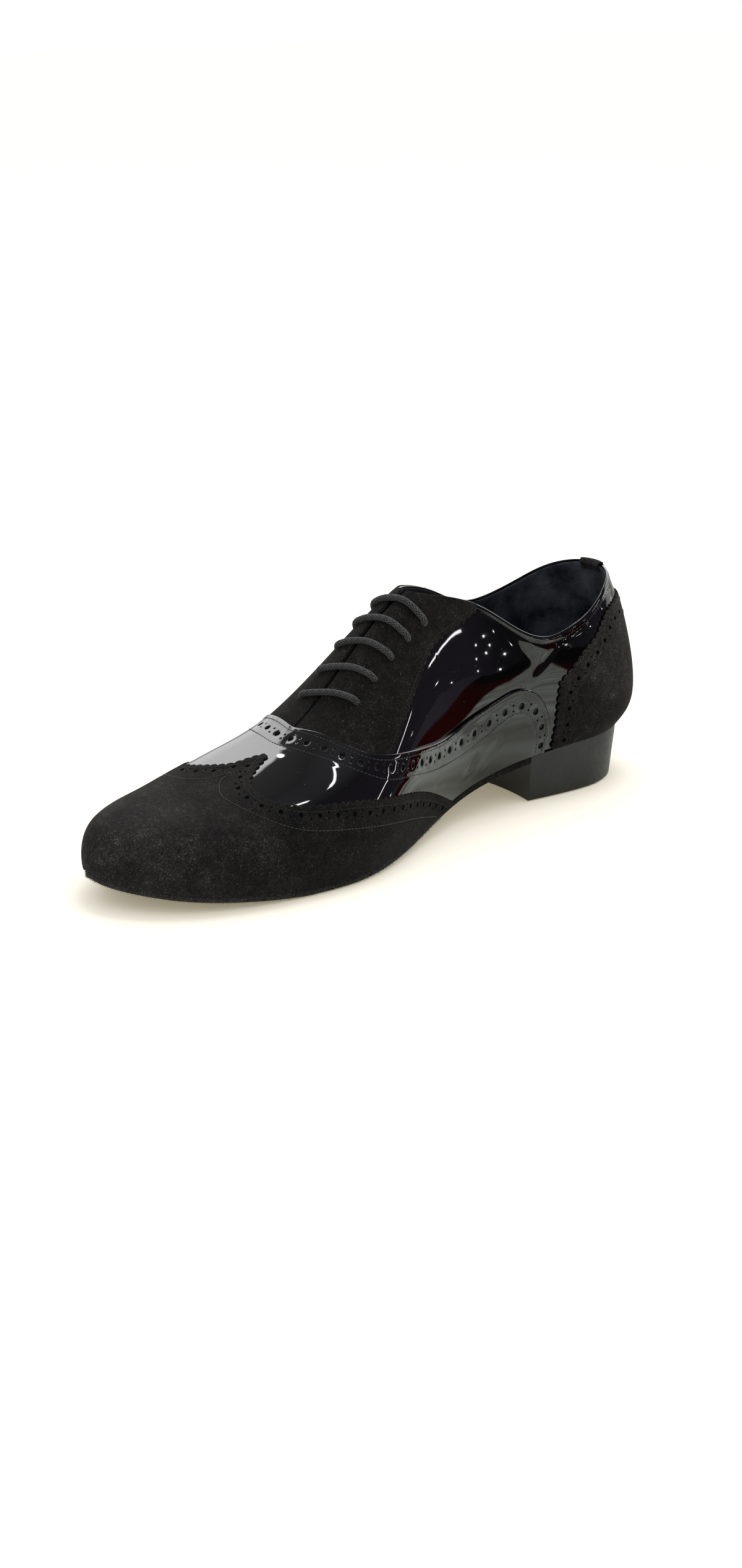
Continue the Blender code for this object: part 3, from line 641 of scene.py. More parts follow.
def chain(*lines):
    """One closed outline from lines that follow each other; points that nearly meet are kept once."""
    outline = []
    for point in np.concatenate(lines):
        if not outline or np.linalg.norm(point - outline[-1]) > 0.12:
            outline.append(point)
    if np.linalg.norm(outline[0] - outline[-1]) < 0.12:
        outline.pop()
    return np.array(outline)


def turning(outline):
    x, y = outline.T
    return np.sign(np.sum(x * np.roll(y, -1) - y * np.roll(x, -1)))


def inset(outline, distance):
    """The outline moved inwards."""
    before = outline - np.roll(outline, 1, axis=0)
    after = np.roll(outline, -1, axis=0) - outline
    before /= np.linalg.norm(before, axis=1, keepdims=True)
    after /= np.linalg.norm(after, axis=1, keepdims=True)
    along_it = before + after
    along_it /= np.maximum(np.linalg.norm(along_it, axis=1, keepdims=True), 1e-6)
    inward = np.stack([-along_it[:, 1], along_it[:, 0]], -1)
    return outline + turning(outline) * distance * inward


def inside(points, outline):
    """Which points lie in the outline."""
    x, y = points.T
    crossings = np.zeros(len(points), int)
    for start, end in zip(outline, np.roll(outline, -1, axis=0)):
        spans = (start[1] > y) != (end[1] > y)
        rise = end[1] - start[1] if end[1] != start[1] else 1e-12
        crossings += spans & (x < (end[0] - start[0]) * (y - start[1]) / rise + start[0])
    return crossings % 2 == 1


def nearest(others):
    """A function that gives each flat point's distance from the nearest of the others."""
    tree = KDTree(len(others))
    for index, point in enumerate(others):
        tree.insert((*point, 0.0), index)
    tree.balance()
    return lambda points: np.array([tree.find((*point, 0.0))[2] for point in points])


def clear_of(points, others, clearance):
    """The points that keep a clearance from the others."""
    return points[nearest(others)(points) > clearance]


def filling(outline, step):
    """Points of a triangle grid inside the outline."""
    low = outline.min(0)
    high = outline.max(0)
    rows = np.arange(low[1], high[1], step * math.sqrt(3) / 2)
    columns = np.arange(low[0], high[0], step)
    x, y = np.meshgrid(columns, rows)
    x += (np.arange(len(rows)) % 2 * step / 2)[:, None]
    grid = np.stack([x.ravel(), y.ravel()], -1)
    return grid[inside(grid, outline)]


def circle(centre, radius, count):
    turn = np.linspace(0, 2 * math.pi, count, endpoint=False)
    return centre + radius * np.stack([np.cos(turn), np.sin(turn)], -1)


def ripple(flat, waves):
    """Slow waves of a stretched skin; each wave is a turn in degrees, a length, a height and a phase."""
    height = np.zeros(len(flat))
    for turn, length, size, phase in waves:
        turn = math.radians(turn)
        travel = flat[:, 0] * math.cos(turn) + flat[:, 1] * math.sin(turn)
        height += size * np.sin(2 * math.pi * travel / length + phase)
    return height


# Meshes

def to_scene(points):
    """Shoe coordinates in millimetres to scene coordinates in metres; the toe points along -Y."""
    along_it, across, height = np.moveaxis(np.asarray(points, float), -1, 0)
    return np.stack([across - MIDDLE_ACROSS, MIDDLE_STATION - along_it, height], -1) * MM


def add_mesh(name, points, faces, material, rim=None):
    """A piece from shoe points and faces, turned outwards; its rim is 1 on cut edges, -1 in punched pits."""
    shape = bmesh.new()
    layer = shape.verts.layers.float.new("rim")
    corners = [shape.verts.new(point) for point in to_scene(points)]
    if rim is not None:
        for corner, value in zip(corners, rim):
            corner[layer] = value
    for face in faces:
        shape.faces.new([corners[i] for i in face])
    bmesh.ops.remove_doubles(shape, verts=shape.verts, dist=0.002 * MM)
    bmesh.ops.dissolve_degenerate(shape, edges=shape.edges, dist=0.0005 * MM)
    bmesh.ops.recalc_face_normals(shape, faces=shape.faces)
    data = bpy.data.meshes.new(name)
    shape.to_mesh(data)
    shape.free()
    data.shade_smooth()
    data.set_sharp_from_angle(angle=math.radians(50))
    data.materials.append(material)
    piece = bpy.data.objects.new(name, data)
    bpy.context.scene.collection.objects.link(piece)
    return piece


def settle(piece, slot, *nodes):
    """The piece rides on the shoe's one body and stands for its solids."""
    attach(piece, "root")
    if nodes:
        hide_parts(*nodes)


# Points just inside a panel's edges keep its rounding narrow
SUPPORT = 0.3
PIT_FLOOR = 0.08
INSIDE_OUTLINE = 1
# A rounded edge: share of the way in from the outer loop, drop in roundings, and the rim value in a pit, by
# which the suede is given painted shade deeper in the pit
EDGE_RINGS = ((0.29, 0.29, -0.3), (0.0, 1.0, -0.8))


def flat_triangles(loops, spare):
    """Triangles inside the first loop through the others and the spare points, with each loop's numbers."""
    rings = []
    used = 0
    for loop in loops:
        rings.append(list(range(used, used + len(loop))))
        used += len(loop)
    edges = [edge for ring in rings for edge in zip(ring, ring[1:] + ring[:1])]
    given = [Vector(point) for point in np.concatenate([*loops, spare])]
    flat, _, triangles, sources, _, _ = delaunay_2d_cdt(given, edges, [], INSIDE_OUTLINE, 1e-7)
    place_of = {source: index for index, group in enumerate(sources) for source in group}
    return np.array(flat), triangles, [[place_of[i] for i in ring] for ring in rings]


def without_holes(triangles, holes, count):
    """The triangles that don't lie in a hole, which have all their corners on one hole's ring."""
    owner = np.full(count, -1)
    for index, ring in enumerate(holes):
        owner[ring] = index
    corners = owner[np.array(triangles)]
    in_hole = (corners[:, 0] >= 0) & (corners[:, 0] == corners[:, 1]) & (corners[:, 0] == corners[:, 2])
    return [face for face, skipped in zip(triangles, in_hole) if not skipped]


def cut_panel(name, outline, holes, step, chart, layer, edge, material, relief=None, through=False):
    """A closed sheet over the wall with rounded edges; its holes are blind pits, or go through it."""
    low, high = layer
    loops = [(inset(outline, edge), outline)]
    support = [inset(outline, edge + SUPPORT)]
    for centre, radius in holes:
        count = 20 if radius > SMALL_HOLE else 10
        loops.append((circle(centre, radius + edge, count), circle(centre, radius, count)))
        support.append(circle(centre, radius + edge + SUPPORT, count))
    inner = [loop for loop, _ in loops]
    bounds = np.concatenate(inner)
    support = np.concatenate(support)
    support = clear_of(support[inside(support, inner[0])], bounds, 0.6 * SUPPORT)
    fill = clear_of(filling(inner[0], step), np.concatenate([bounds, support]), 0.62 * step)
    for centre, radius in holes:
        fill = fill[np.linalg.norm(fill - centre, axis=1) > radius + edge + 0.3 * step]
    flat, triangles, tops = flat_triangles(inner, np.concatenate([support, fill]))
    punched = without_holes(triangles, tops[1:], len(flat))

    def face_lift(at, drop):
        return (high - drop + (relief(at) if relief else 0.0)) * np.ones(len(at))

    count = len(flat)
    flats = [flat, flat]
    lifts = [face_lift(flat, 0.0), np.full(count, low)]
    rim = [np.zeros(count), np.ones(count)]
    faces = [tuple(face) for face in punched]
    faces += [tuple(i + count for i in reversed(face)) for face in (punched if through else triangles)]
    used = 2 * count
    for index, ((loop, outer), top) in enumerate(zip(loops, tops)):
        pit = index > 0 and not through
        size = len(top)
        rim[0][top] = 0.0 if pit else 0.6
        walls = [(outer + (loop - outer) * share, drop * edge, shade) for share, drop, shade in EDGE_RINGS]
        walls = [(ring, face_lift(ring, drop), shade) for ring, drop, shade in walls]
        walls.append((outer, np.full(size, low + PIT_FLOOR if pit else low), -1.0))
        rings = [top]
        for ring, lift, shade in walls:
            flats.append(ring)
            lifts.append(lift)
            rim.append(np.full(size, shade if pit else 1.0))
            rings.append(list(range(used, used + size)))
            used += size
        if pit:
            faces.append(tuple(rings[-1]))
        else:
            rings.append([i + count for i in top])
        for near, far in zip(rings, rings[1:]):
            faces += bridge(near, far)
    points = chart(np.concatenate(flats), np.concatenate(lifts))
    return add_mesh(name, points, faces, material, np.concatenate(rim))


def bridge(near, far):
    """Faces between two closed rings of point numbers."""
    return list(zip(near, (*near[1:], near[0]), (*far[1:], far[0]), far))


def tube(count, size):
    """Faces between rings of the same size, numbered one after another."""
    rings = np.arange(count * size).reshape(count, size).tolist()
    return [face for near, far in zip(rings, rings[1:]) for face in bridge(near, far)]


def loft(name, rows, material, rim=None):
    """A solid through closed sections that have the same number of points."""
    rows = np.asarray(rows, float)
    count, size = rows.shape[:2]
    faces = tube(count, size)
    faces.append(tuple(range(size))[::-1])
    faces.append(tuple((count - 1) * size + j for j in range(size)))
    return add_mesh(name, rows.reshape(-1, 3), faces, material, rim)


# Brogue holes and stitch lines

def brogue_holes(line, pitch, large, small, spread):
    """Large holes along a line, with a pair of small ones across it between each two."""
    reach = path_length(line)[-1]
    count = max(2, int(round(reach / pitch)))
    step = reach / count
    side_of = line_sides(line)
    length = path_length(line)
    holes = []
    for index in range(count):
        middle = (index + 0.5) * step
        holes.append((along(line, np.array([middle]))[0], large))
        if index < count - 1:
            between = (index + 1.0) * step
            point = along(line, np.array([between]))[0]
            out = np.array([np.interp(between, length, side_of[:, k]) for k in (0, 1)])
            holes += [(point + spread * out, small), (point - spread * out, small)]
    return holes


def holes_inside(holes, outline, clearance):
    """The holes that keep a clearance from the panel's edge and from each other."""
    kept = []
    for centre, radius in holes:
        if not inside(centre[None], outline)[0]:
            continue
        if np.min(np.linalg.norm(outline - centre, axis=1)) < radius + clearance:
            continue
        if any(np.linalg.norm(centre - other) < radius + size + clearance for other, size in kept):
            continue
        kept.append((centre, radius))
    return kept


def stitch_path(chart, line, lift):
    """Points of a stitch line and the directions away from the shoe at them."""
    points = chart(line, lift)
    above = chart(line, lift + 1.0)
    return points, above - points


def path_mesh(name, paths):
    """One mesh of loose lines, each point with the direction away from the shoe."""
    points = np.concatenate([path[0] for path in paths])
    up = np.concatenate([path[1] for path in paths])
    up = np.stack([up[:, 1], -up[:, 0], up[:, 2]], -1)
    edges = []
    start = 0
    for path, _ in paths:
        edges += [(start + i, start + i + 1) for i in range(len(path) - 1)]
        start += len(path)
    data = bpy.data.meshes.new(name)
    data.from_pydata(to_scene(points).tolist(), edges, [])
    data.attributes.new("up", "FLOAT_VECTOR", "POINT").data.foreach_set("vector", up.ravel())
    piece = bpy.data.objects.new(name, data)
    bpy.context.scene.collection.objects.link(piece)
    return piece


# Node trees

def as_colour(value):
    """A colour or a grey level, with its cover."""
    red, green, blue = value if isinstance(value, tuple) else (value, value, value)
    return red, green, blue, 1.0


def feed(tree, node, values):
    """Gives each named input of a node an output of another node, or a plain value."""
    for name, value in values.items():
        socket = node.inputs[name]
        if isinstance(value, bpy.types.NodeSocket):
            tree.links.new(value, socket)
        else:
            socket.default_value = as_colour(value) if socket.type == "RGBA" else value


def new_node(tree, kind, values=None, **settings):
    """A node with its settings, and the outputs or plain values at its inputs."""
    node = tree.nodes.new(kind)
    for name, value in settings.items():
        setattr(node, name, value)
    feed(tree, node, values or {})
    return node


def start_tree(name, inputs):
    """A geometry tree with its named inputs, and what its input node gives."""
    tree = bpy.data.node_groups.new(name, "GeometryNodeTree")
    for label, kind, value in inputs:
        socket = tree.interface.new_socket(label, in_out="INPUT", socket_type=f"NodeSocket{kind}")
        if value is not None:
            socket.default_value = value
    tree.interface.new_socket("Geometry", in_out="OUTPUT", socket_type="NodeSocketGeometry")
    return tree, new_node(tree, "NodeGroupInput").outputs


def end_tree(tree, placed, material, smooth):
    """Makes the placed instances real, gives them their material and hands them out."""
    real = new_node(tree, "GeometryNodeRealizeInstances", {"Geometry": placed.outputs["Instances"]})
    if smooth:
        real = new_node(tree, "GeometryNodeSetShadeSmooth", {"Geometry": real.outputs["Geometry"]})
    painted = new_node(tree, "GeometryNodeSetMaterial", {
        "Geometry": real.outputs["Geometry"],
        "Material": material,
    })
    new_node(tree, "NodeGroupOutput", {"Geometry": painted.outputs["Geometry"]})


def stitch_tree():
    """Geometry nodes: stitches laid along lines, each turned along its line and flat on the shoe."""
    tree, given = start_tree("Stitch row", (
        ("Geometry", "Geometry", None),
        ("Pitch", "Float", 0.0024),
        ("Stitch Size", "Vector", (0.001, 0.0003, 0.00025)),
        ("Thread", "Material", None),
    ))
    curve = new_node(tree, "GeometryNodeMeshToCurve", {"Mesh": given["Geometry"]})
    places = new_node(tree, "GeometryNodeResampleCurve", {
        "Curve": curve.outputs["Curve"],
        "Length": given["Pitch"],
    }, mode="LENGTH")
    ball = new_node(tree, "GeometryNodeMeshUVSphere", {"Segments": 8, "Rings": 6, "Radius": 1.0})
    stitch = new_node(tree, "GeometryNodeTransform", {
        "Geometry": ball.outputs["Mesh"],
        "Scale": given["Stitch Size"],
    })
    up = new_node(tree, "GeometryNodeInputNamedAttribute", {"Name": "up"}, data_type="FLOAT_VECTOR")
    tangent = new_node(tree, "GeometryNodeInputTangent")
    stand = new_node(tree, "FunctionNodeAlignRotationToVector", {"Vector": up.outputs["Attribute"]}, axis="Z")
    turn = new_node(tree, "FunctionNodeAlignRotationToVector", {
        "Rotation": stand.outputs["Rotation"],
        "Vector": tangent.outputs["Tangent"],
    }, axis="X", pivot_axis="Z")
    placed = new_node(tree, "GeometryNodeInstanceOnPoints", {
        "Points": places.outputs["Curve"],
        "Instance": stitch.outputs["Geometry"],
        "Rotation": turn.outputs["Rotation"],
    })
    end_tree(tree, placed, given["Thread"], True)
    return tree


def fuzz_tree():
    """Geometry nodes: short fibres that stand on a face, leaning every way."""
    tree, given = start_tree("Nap fibres", (
        ("Geometry", "Geometry", None),
        ("Density", "Float", 1.0),
        ("Fibre Length", "Float", 0.001),
        ("Fibre Radius", "Float", 0.00005),
        ("Seed", "Int", 0),
        ("Fibre", "Material", None),
    ))
    scatter = new_node(tree, "GeometryNodeDistributePointsOnFaces", {
        "Mesh": given["Geometry"],
        "Density": given["Density"],
        "Seed": given["Seed"],
    })
    fibre = new_node(tree, "GeometryNodeMeshCone", {
        "Vertices": 3,
        "Side Segments": 1,
        "Radius Top": 0.0,
        "Radius Bottom": given["Fibre Radius"],
        "Depth": given["Fibre Length"],
    }, fill_type="NONE")
    lean = new_node(tree, "FunctionNodeRandomValue", {
        "Min": (-1.0, -1.0, 0.0),
        "Max": (1.0, 1.0, 6.3),
        "Seed": given["Seed"],
    }, data_type="FLOAT_VECTOR")
    shortest, longest = 2, 3
    grow = new_node(tree, "FunctionNodeRandomValue", {
        shortest: 0.4,
        longest: 1.3,
        "Seed": given["Seed"],
    }, data_type="FLOAT")
    leaning = new_node(tree, "FunctionNodeEulerToRotation", {"Euler": lean.outputs["Value"]})
    tilt = new_node(tree, "FunctionNodeRotateRotation", {
        "Rotation": scatter.outputs["Rotation"],
        "Rotate By": leaning.outputs["Rotation"],
    }, rotation_space="LOCAL")
    placed = new_node(tree, "GeometryNodeInstanceOnPoints", {
        "Points": scatter.outputs["Points"],
        "Instance": fibre.outputs["Mesh"],
        "Rotation": tilt.outputs["Rotation"],
        "Scale": grow.outputs[1],
    })
    end_tree(tree, placed, given["Fibre"], False)
    return tree


def apply_tree(piece, tree, values):
    """Runs a node tree on a piece and keeps the result as its plain mesh."""
    modifier = piece.modifiers.new(tree.name, "NODES")
    modifier.node_group = tree
    for socket in tree.interface.items_tree:
        if socket.in_out == "INPUT" and socket.name in values:
            modifier[socket.identifier] = values[socket.name]
    piece.update_tag()
    graph = bpy.context.evaluated_depsgraph_get()
    data = bpy.data.meshes.new_from_object(piece.evaluated_get(graph))
    data.name = piece.name
    material = data.materials[-1]
    data.materials.clear()
    data.materials.append(material)
    piece.modifiers.remove(modifier)
    piece.data = data


# Finishes

LINT = (0.075, 0.072, 0.068)
# Painted shade at the floor of a punched pit in the suede.
PIT_SHADE = 0.0006


def new_finish(name):
    material = bpy.data.materials.new(name)
    material.use_nodes = True
    tree = material.node_tree
    return material, tree, tree.nodes["Principled BSDF"]


def own_place(tree):
    """The place of a point in the shoe's own coordinates."""
    return new_node(tree, "ShaderNodeTexCoord").outputs["Object"]


def noise(tree, scale, detail, roughness):
    """A noise in the shoe's own coordinates; scale is in cells per metre."""
    return new_node(tree, "ShaderNodeTexNoise", {
        "Vector": own_place(tree),
        "Scale": scale,
        "Detail": detail,
        "Roughness": roughness,
    }).outputs["Fac"]


def ramp(tree, source, *stops):
    """A colour ramp over a value; stops are places and grey levels or colours."""
    node = new_node(tree, "ShaderNodeValToRGB", {"Fac": source})
    elements = node.color_ramp.elements
    while len(elements) < len(stops):
        elements.new(0.5)
    for element, (place, colour) in zip(elements, stops):
        element.position = place
        element.color = as_colour(colour)
    return node.outputs["Color"]


def blend(tree, share, low, high, mode="MIX"):
    """A mix of two colours, grey levels or outputs."""
    factor, first, second, result = 0, 6, 7, 2
    values = {factor: share, first: low, second: high}
    return new_node(tree, "ShaderNodeMix", values, data_type="RGBA", blend_type=mode).outputs[result]


def calculate(tree, operation, *values):
    """An operation on outputs and plain numbers."""
    return new_node(tree, "ShaderNodeMath", dict(enumerate(values)), operation=operation).outputs["Value"]


def distance_along(tree, source, direction):
    """How far a point lies along a direction."""
    values = {0: source, 1: direction}
    return new_node(tree, "ShaderNodeVectorMath", values, operation="DOT_PRODUCT").outputs["Value"]


def remap(tree, source, start, end, low=0.0, high=1.0):
    """A value that goes from low to high while another goes from start to end."""
    return new_node(tree, "ShaderNodeMapRange", {
        "Value": source,
        "From Min": start,
        "From Max": end,
        "To Min": low,
        "To Max": high,
    }).outputs["Result"]


def bump(tree, source, strength, distance, below=None):
    """The surface direction bumped by a value, over another bump if one is given."""
    values = {"Height": source, "Strength": strength, "Distance": distance}
    if below is not None:
        values["Normal"] = below
    return new_node(tree, "ShaderNodeBump", values).outputs["Normal"]


def edge_shares(tree):
    """How far a point lies on a cut edge, and how far in a punched pit."""
    rim = new_node(tree, "ShaderNodeAttribute", attribute_name="rim").outputs["Fac"]
    return remap(tree, rim, 0.0, 1.0), remap(tree, rim, 0.0, -1.0)


def suede_finish(name, dark, light, cut, painted_light):
    """Napped leather with lint and cut edges; painted light makes it paler towards toe and heel, and painted
    shade darkens its punched pits.
    """
    material, tree, shader = new_finish(name)
    # Painted light: the suede is made paler towards the toe and towards the heel's back.
    from_waist = calculate(tree, "ADD", distance_along(tree, own_place(tree), (0.0, 1.0, 0.8)), -0.029)
    painted_light_tone = remap(tree, calculate(tree, "ABSOLUTE", from_waist), 0.0825, 0.135, 1.0, painted_light)
    patches = noise(tree, 42.0, 4.0, 0.62)
    clusters = noise(tree, 130.0, 3.0, 0.65)
    tufts = noise(tree, 420.0, 3.0, 0.6)
    nap = noise(tree, 1700.0, 4.0, 0.75)
    lint = noise(tree, 1150.0, 1.0, 0.5)
    gathered = calculate(tree, "MULTIPLY_ADD", clusters, 0.20, nap)
    on_edge, in_pit = edge_shares(tree)
    colour = blend(tree, ramp(tree, patches, (0.36, 0.0), (0.66, 1.0)), dark, light)
    colour = blend(tree, on_edge, colour, cut)
    tuft_tone = ramp(tree, tufts, (0.34, 0.68), (0.68, 1.4))
    nap_tone = ramp(tree, gathered, (0.43, 0.26), (0.63, 0.56), (0.73, 1.60), (0.85, 8.00))
    for tone in (tuft_tone, nap_tone, painted_light_tone):
        colour = blend(tree, 1.0, colour, tone, "MULTIPLY")
    colour = blend(tree, ramp(tree, lint, (0.735, 0.0), (0.775, 1.0)), colour, LINT)
    # Painted shade: the punched pits grow darker towards their floors.
    feed(tree, shader, {
        "Base Color": blend(tree, in_pit, colour, PIT_SHADE),
        "Roughness": 0.95,
        "Specular IOR Level": 0.12,
        "Sheen Weight": 0.06,
        "Sheen Roughness": 0.5,
        "Sheen Tint": (0.55, 0.53, 0.5),
        "Normal": bump(tree, nap, 0.6, 0.00035, bump(tree, tufts, 0.22, 0.0006)),
    })
    return material


def patent_finish(name, colour):
    """Lacquered leather: a black mirror with a faint waviness, a few dust specks and dull punched pits."""
    material, tree, shader = new_finish(name)
    dust = ramp(tree, noise(tree, 900.0, 1.0, 0.5), (0.76, 0.0), (0.8, 1.0))
    _, in_pit = edge_shares(tree)
    tone = blend(tree, dust, colour, 0.03)
    gloss = ramp(tree, dust, (0.0, 0.035), (1.0, 0.35))
    feed(tree, shader, {
        "Base Color": blend(tree, in_pit, tone, 0.006),
        "Roughness": blend(tree, in_pit, gloss, 0.6),
        "IOR": 1.52,
        "Normal": bump(tree, noise(tree, 55.0, 2.0, 0.4), 0.12, 0.0008),
    })
    return material


def lining_finish(name, dark, light):
    """Soft lining leather, mottled dark navy, with painted light that makes it paler towards the heel's back
    and painted shade that leaves its sides dark.
    """
    material, tree, shader = new_finish(name)
    # Painted light and shade: paler towards the heel's back, darker along the sides.
    backward = distance_along(tree, own_place(tree), (0.0, 1.0, 0.0))
    painted_light = remap(tree, backward, 0.075, 0.125, 0.12, 1.0)
    patches = ramp(tree, noise(tree, 70.0, 5.0, 0.65), (0.34, 0.1), (0.66, 1.0))
    share = blend(tree, 1.0, patches, painted_light, "MULTIPLY")
    feed(tree, shader, {
        "Base Color": blend(tree, share, dark, light),
        "Roughness": 0.9,
        "Specular IOR Level": 0.2,
        "Sheen Weight": 0.06,
        "Sheen Tint": (0.45, 0.48, 0.55),
        "Normal": bump(tree, noise(tree, 1300.0, 3.0, 0.6), 0.4, 0.0003),
    })
    return material


def heel_finish(name, colour):
    """Satin heel cover: fine grain under a thin sheen."""
    material, tree, shader = new_finish(name)
    grain = noise(tree, 420.0, 5.0, 0.6)
    paler = tuple(1.7 * value for value in colour)
    feed(tree, shader, {
        "Base Color": ramp(tree, noise(tree, 24.0, 3.0, 0.5), (0.3, colour), (0.75, paler)),
        "Roughness": ramp(tree, grain, (0.3, 0.42), (0.7, 0.54)),
        "Specular IOR Level": 0.35,
        "Normal": bump(tree, grain, 0.12, 0.0002),
    })
    return material


def thread_finish(name, dark, light, roughness):
    """Twisted yarn with a fine twist; where its two colours differ, painted shade darkens it between the
    strands and painted highlight lightens it on them.
    """
    material, tree, shader = new_finish(name)
    twist = noise(tree, 2600.0, 2.0, 0.6)
    on_strand, _ = edge_shares(tree)
    # Painted shade between the strands and painted highlight on them; only the lace is given two colours.
    strand_light_and_shade = ramp(tree, on_strand, (0.35, dark), (0.92, light))
    twist_tone = ramp(tree, twist, (0.35, 0.5), (0.65, 1.4))
    feed(tree, shader, {
        "Base Color": blend(tree, 1.0, strand_light_and_shade, twist_tone, "MULTIPLY"),
        "Roughness": roughness,
        "Specular IOR Level": 0.3,
        "Sheen Weight": 0.1,
        "Normal": bump(tree, twist, 0.5, 0.0002),
    })
    return material


# Each finish: its maker, its colours, and how much painted light brightens it or how rough it is
FINISHES = {
    "black suede": (suede_finish, ("suede", "brushed_suede", "cut_edge"), (2.4,)),
    "sole nap": (suede_finish, ("suede", "brushed_suede", "cut_edge"), (3.6,)),
    "black patent": (patent_finish, ("patent",), ()),
    "navy lining": (lining_finish, ("lining", "worn_lining"), ()),
    "satin heel": (heel_finish, ("heel",), ()),
    "braided lace": (thread_finish, ("lace", "lace_light"), (0.8,)),
    "sewing thread": (thread_finish, ("thread", "thread"), (0.6,)),
    "dark thread": (thread_finish, ("dark_thread", "dark_thread"), (0.8,)),
    "nap fibre": (thread_finish, ("loose_fibre", "loose_fibre"), (0.95,)),
}


def finish(name):
    """The shoe's finish of that name, made once."""
    if name in bpy.data.materials:
        return bpy.data.materials[name]
    maker, colours, values = FINISHES[name]
    looks = bpy.context.scene.dance_shoe_finishes
    return maker(name, *(tuple(getattr(looks, colour)) for colour in colours), *values)


# Sizes and colours that a user would change

def size_property(name, words, value, low, high):
    return FloatProperty(name=name, description=f"{words}, in millimetres", default=value, min=low, max=high)


def colour_property(name, words, value):
    return FloatVectorProperty(name=name, description=words, subtype="COLOR", size=3, min=0.0, max=1.0,
                               default=value)


class ShoeSizes(bpy.types.PropertyGroup):
    """Sizes of the shoe's fine work."""
    pink_pitch: size_property("Pinking pitch", "Distance between two teeth of a pinked edge", 3.6, 1.5, 8.0)
    pink_depth: size_property("Pinking depth", "Height of a tooth of a pinked edge", 1.05, 0.2, 3.0)
    hole_pitch: size_property("Brogue pitch", "Distance between two large brogue holes", 8.6, 4.0, 20.0)
    hole_radius: size_property("Brogue hole", "Radius of a large brogue hole", 0.95, 0.4, 2.5)
    pin_radius: size_property("Brogue pinhole", "Radius of a small brogue hole", 0.36, 0.2, 1.5)
    stitch_pitch: size_property("Stitch pitch", "Distance between two stitches", 1.7, 1.0, 6.0)
    lace_diameter: size_property("Lace diameter", "Diameter of the round lace", 2.8, 1.5, 5.0)
    mesh_step: size_property("Mesh step", "Size of the panels' triangles", 1.35, 0.6, 6.0)
    seed: IntProperty(name="Nap seed", description="Seed of the scattered nap fibres", default=7)


class ShoeFinishes(bpy.types.PropertyGroup):
    """Colours of the shoe's materials."""
    suede: colour_property("Suede", "Black suede", (0.0076, 0.0067, 0.0068))
    brushed_suede: colour_property("Brushed suede", "Suede with its nap brushed up", (0.0175, 0.0165, 0.0146))
    cut_edge: colour_property("Cut edge", "Cut edges of the suede", (0.019, 0.018, 0.017))
    loose_fibre: colour_property("Loose fibre", "Fibres on the sole's edge", (0.1300, 0.1260, 0.1220))
    patent: colour_property("Patent", "Patent leather", (0.0015, 0.0014, 0.0015))
    lining: colour_property("Lining", "Lining leather", (0.0016, 0.0021, 0.0038))
    # Painted light: the lining's colour where light falls at the heel's back.
    worn_lining: colour_property("Worn lining", "Lining where it is rubbed", (0.0700, 0.0790, 0.0980))
    heel: colour_property("Heel", "Heel cover", (0.0085, 0.0082, 0.0080))
    # The lace's painted shade between its strands and painted highlight on them.
    lace: colour_property("Lace", "Lace between its strands", (0.0016, 0.0016, 0.0017))
    lace_light: colour_property("Lace strands", "Lace on its strands", (0.0820, 0.0820, 0.0832))
    thread: colour_property("Thread", "Sewing thread", (0.0260, 0.0255, 0.0250))
    dark_thread: colour_property("Dark thread", "Sewing thread sunk in the suede", (0.0085, 0.0082, 0.0080))


# Pieces

def row_between(first, second, share, count):
    """A line part of the way from one line to another, compared at a count of places."""
    at = np.linspace(0, 1, count)
    lines = [along(line, at * path_length(line)[-1]) for line in (first, second)]
    return even_steps(lines[0] * (1 - share) + lines[1] * share, 0.5)


def pressed(waves, *forms):
    """A panel's relief: slow waves of its skin, and forms pressed into it."""
    return lambda flat: ripple(flat, waves) + sum(form(flat) for form in forms)


def feet(start, end):
    """The wall's lower edge between two stations, on the left and on the right."""
    return [sole_line(start, end, side, FOOT, 1.2) for side in (1, -1)]


class SHOE_OT_toe_cap(bpy.types.Operator):
    """Adds the suede wing cap with its pinked edge and brogue holes."""
    bl_idname = "dance_shoe.toe_cap"
    bl_label = "Toe Cap"

    def execute(self, context):
        sizes = context.scene.dance_shoe_sizes
        edge = across_line(CAP_EDGE, 0.5)
        inner = across_line(CAP_STITCH, 0.5)
        teeth = pinked(edge[::-1], sizes.pink_pitch, sizes.pink_depth)[::-1]
        left, right = feet(CAP_EDGE[-1][0], LENGTH)
        outline = chain(teeth[2:-2], right[1:-1], left[::-1][:-1])
        middle = row_between(edge, inner, CAP_HOLE_SHARE, 600)
        holes = brogue_holes(middle, sizes.hole_pitch, sizes.hole_radius, sizes.pin_radius, PIN_SPREAD)
        holes = holes_inside(holes, outline, HOLE_CLEARANCE)
        relief = pressed(SUEDE_WAVES, over_line(shifted(edge, CAP_SEAM), groove), over_line(inner, groove))
        piece = cut_panel("toe_cap", outline, holes, sizes.mesh_step, ridge_chart, CAP_LAYER, SUEDE_ROUNDING,
                          finish("black suede"), relief)
        settle(piece, "suede", "toe_cap")
        return {"FINISHED"}


# Waves of the stretched leather: turn in degrees, length, height and phase
VAMP_WAVES = (
    (20, 31, 0.025, 0.4),
    (75, 24, 0.022, 1.9),
    (130, 19, 0.016, 3.0),
    (160, 43, 0.045, 0.9),
    (48, 14, 0.008, 2.2),
)
SUEDE_WAVES = (
    (35, 29, 0.05, 0.7),
    (100, 22, 0.04, 2.6),
    (150, 41, 0.07, 4.4),
)
QUARTER_WAVES = (
    (15, 37, 0.030, 1.1),
    (80, 26, 0.024, 0.2),
    (120, 21, 0.018, 2.4),
    (55, 15, 0.008, 4.0),
    (165, 47, 0.040, 5.1),
)


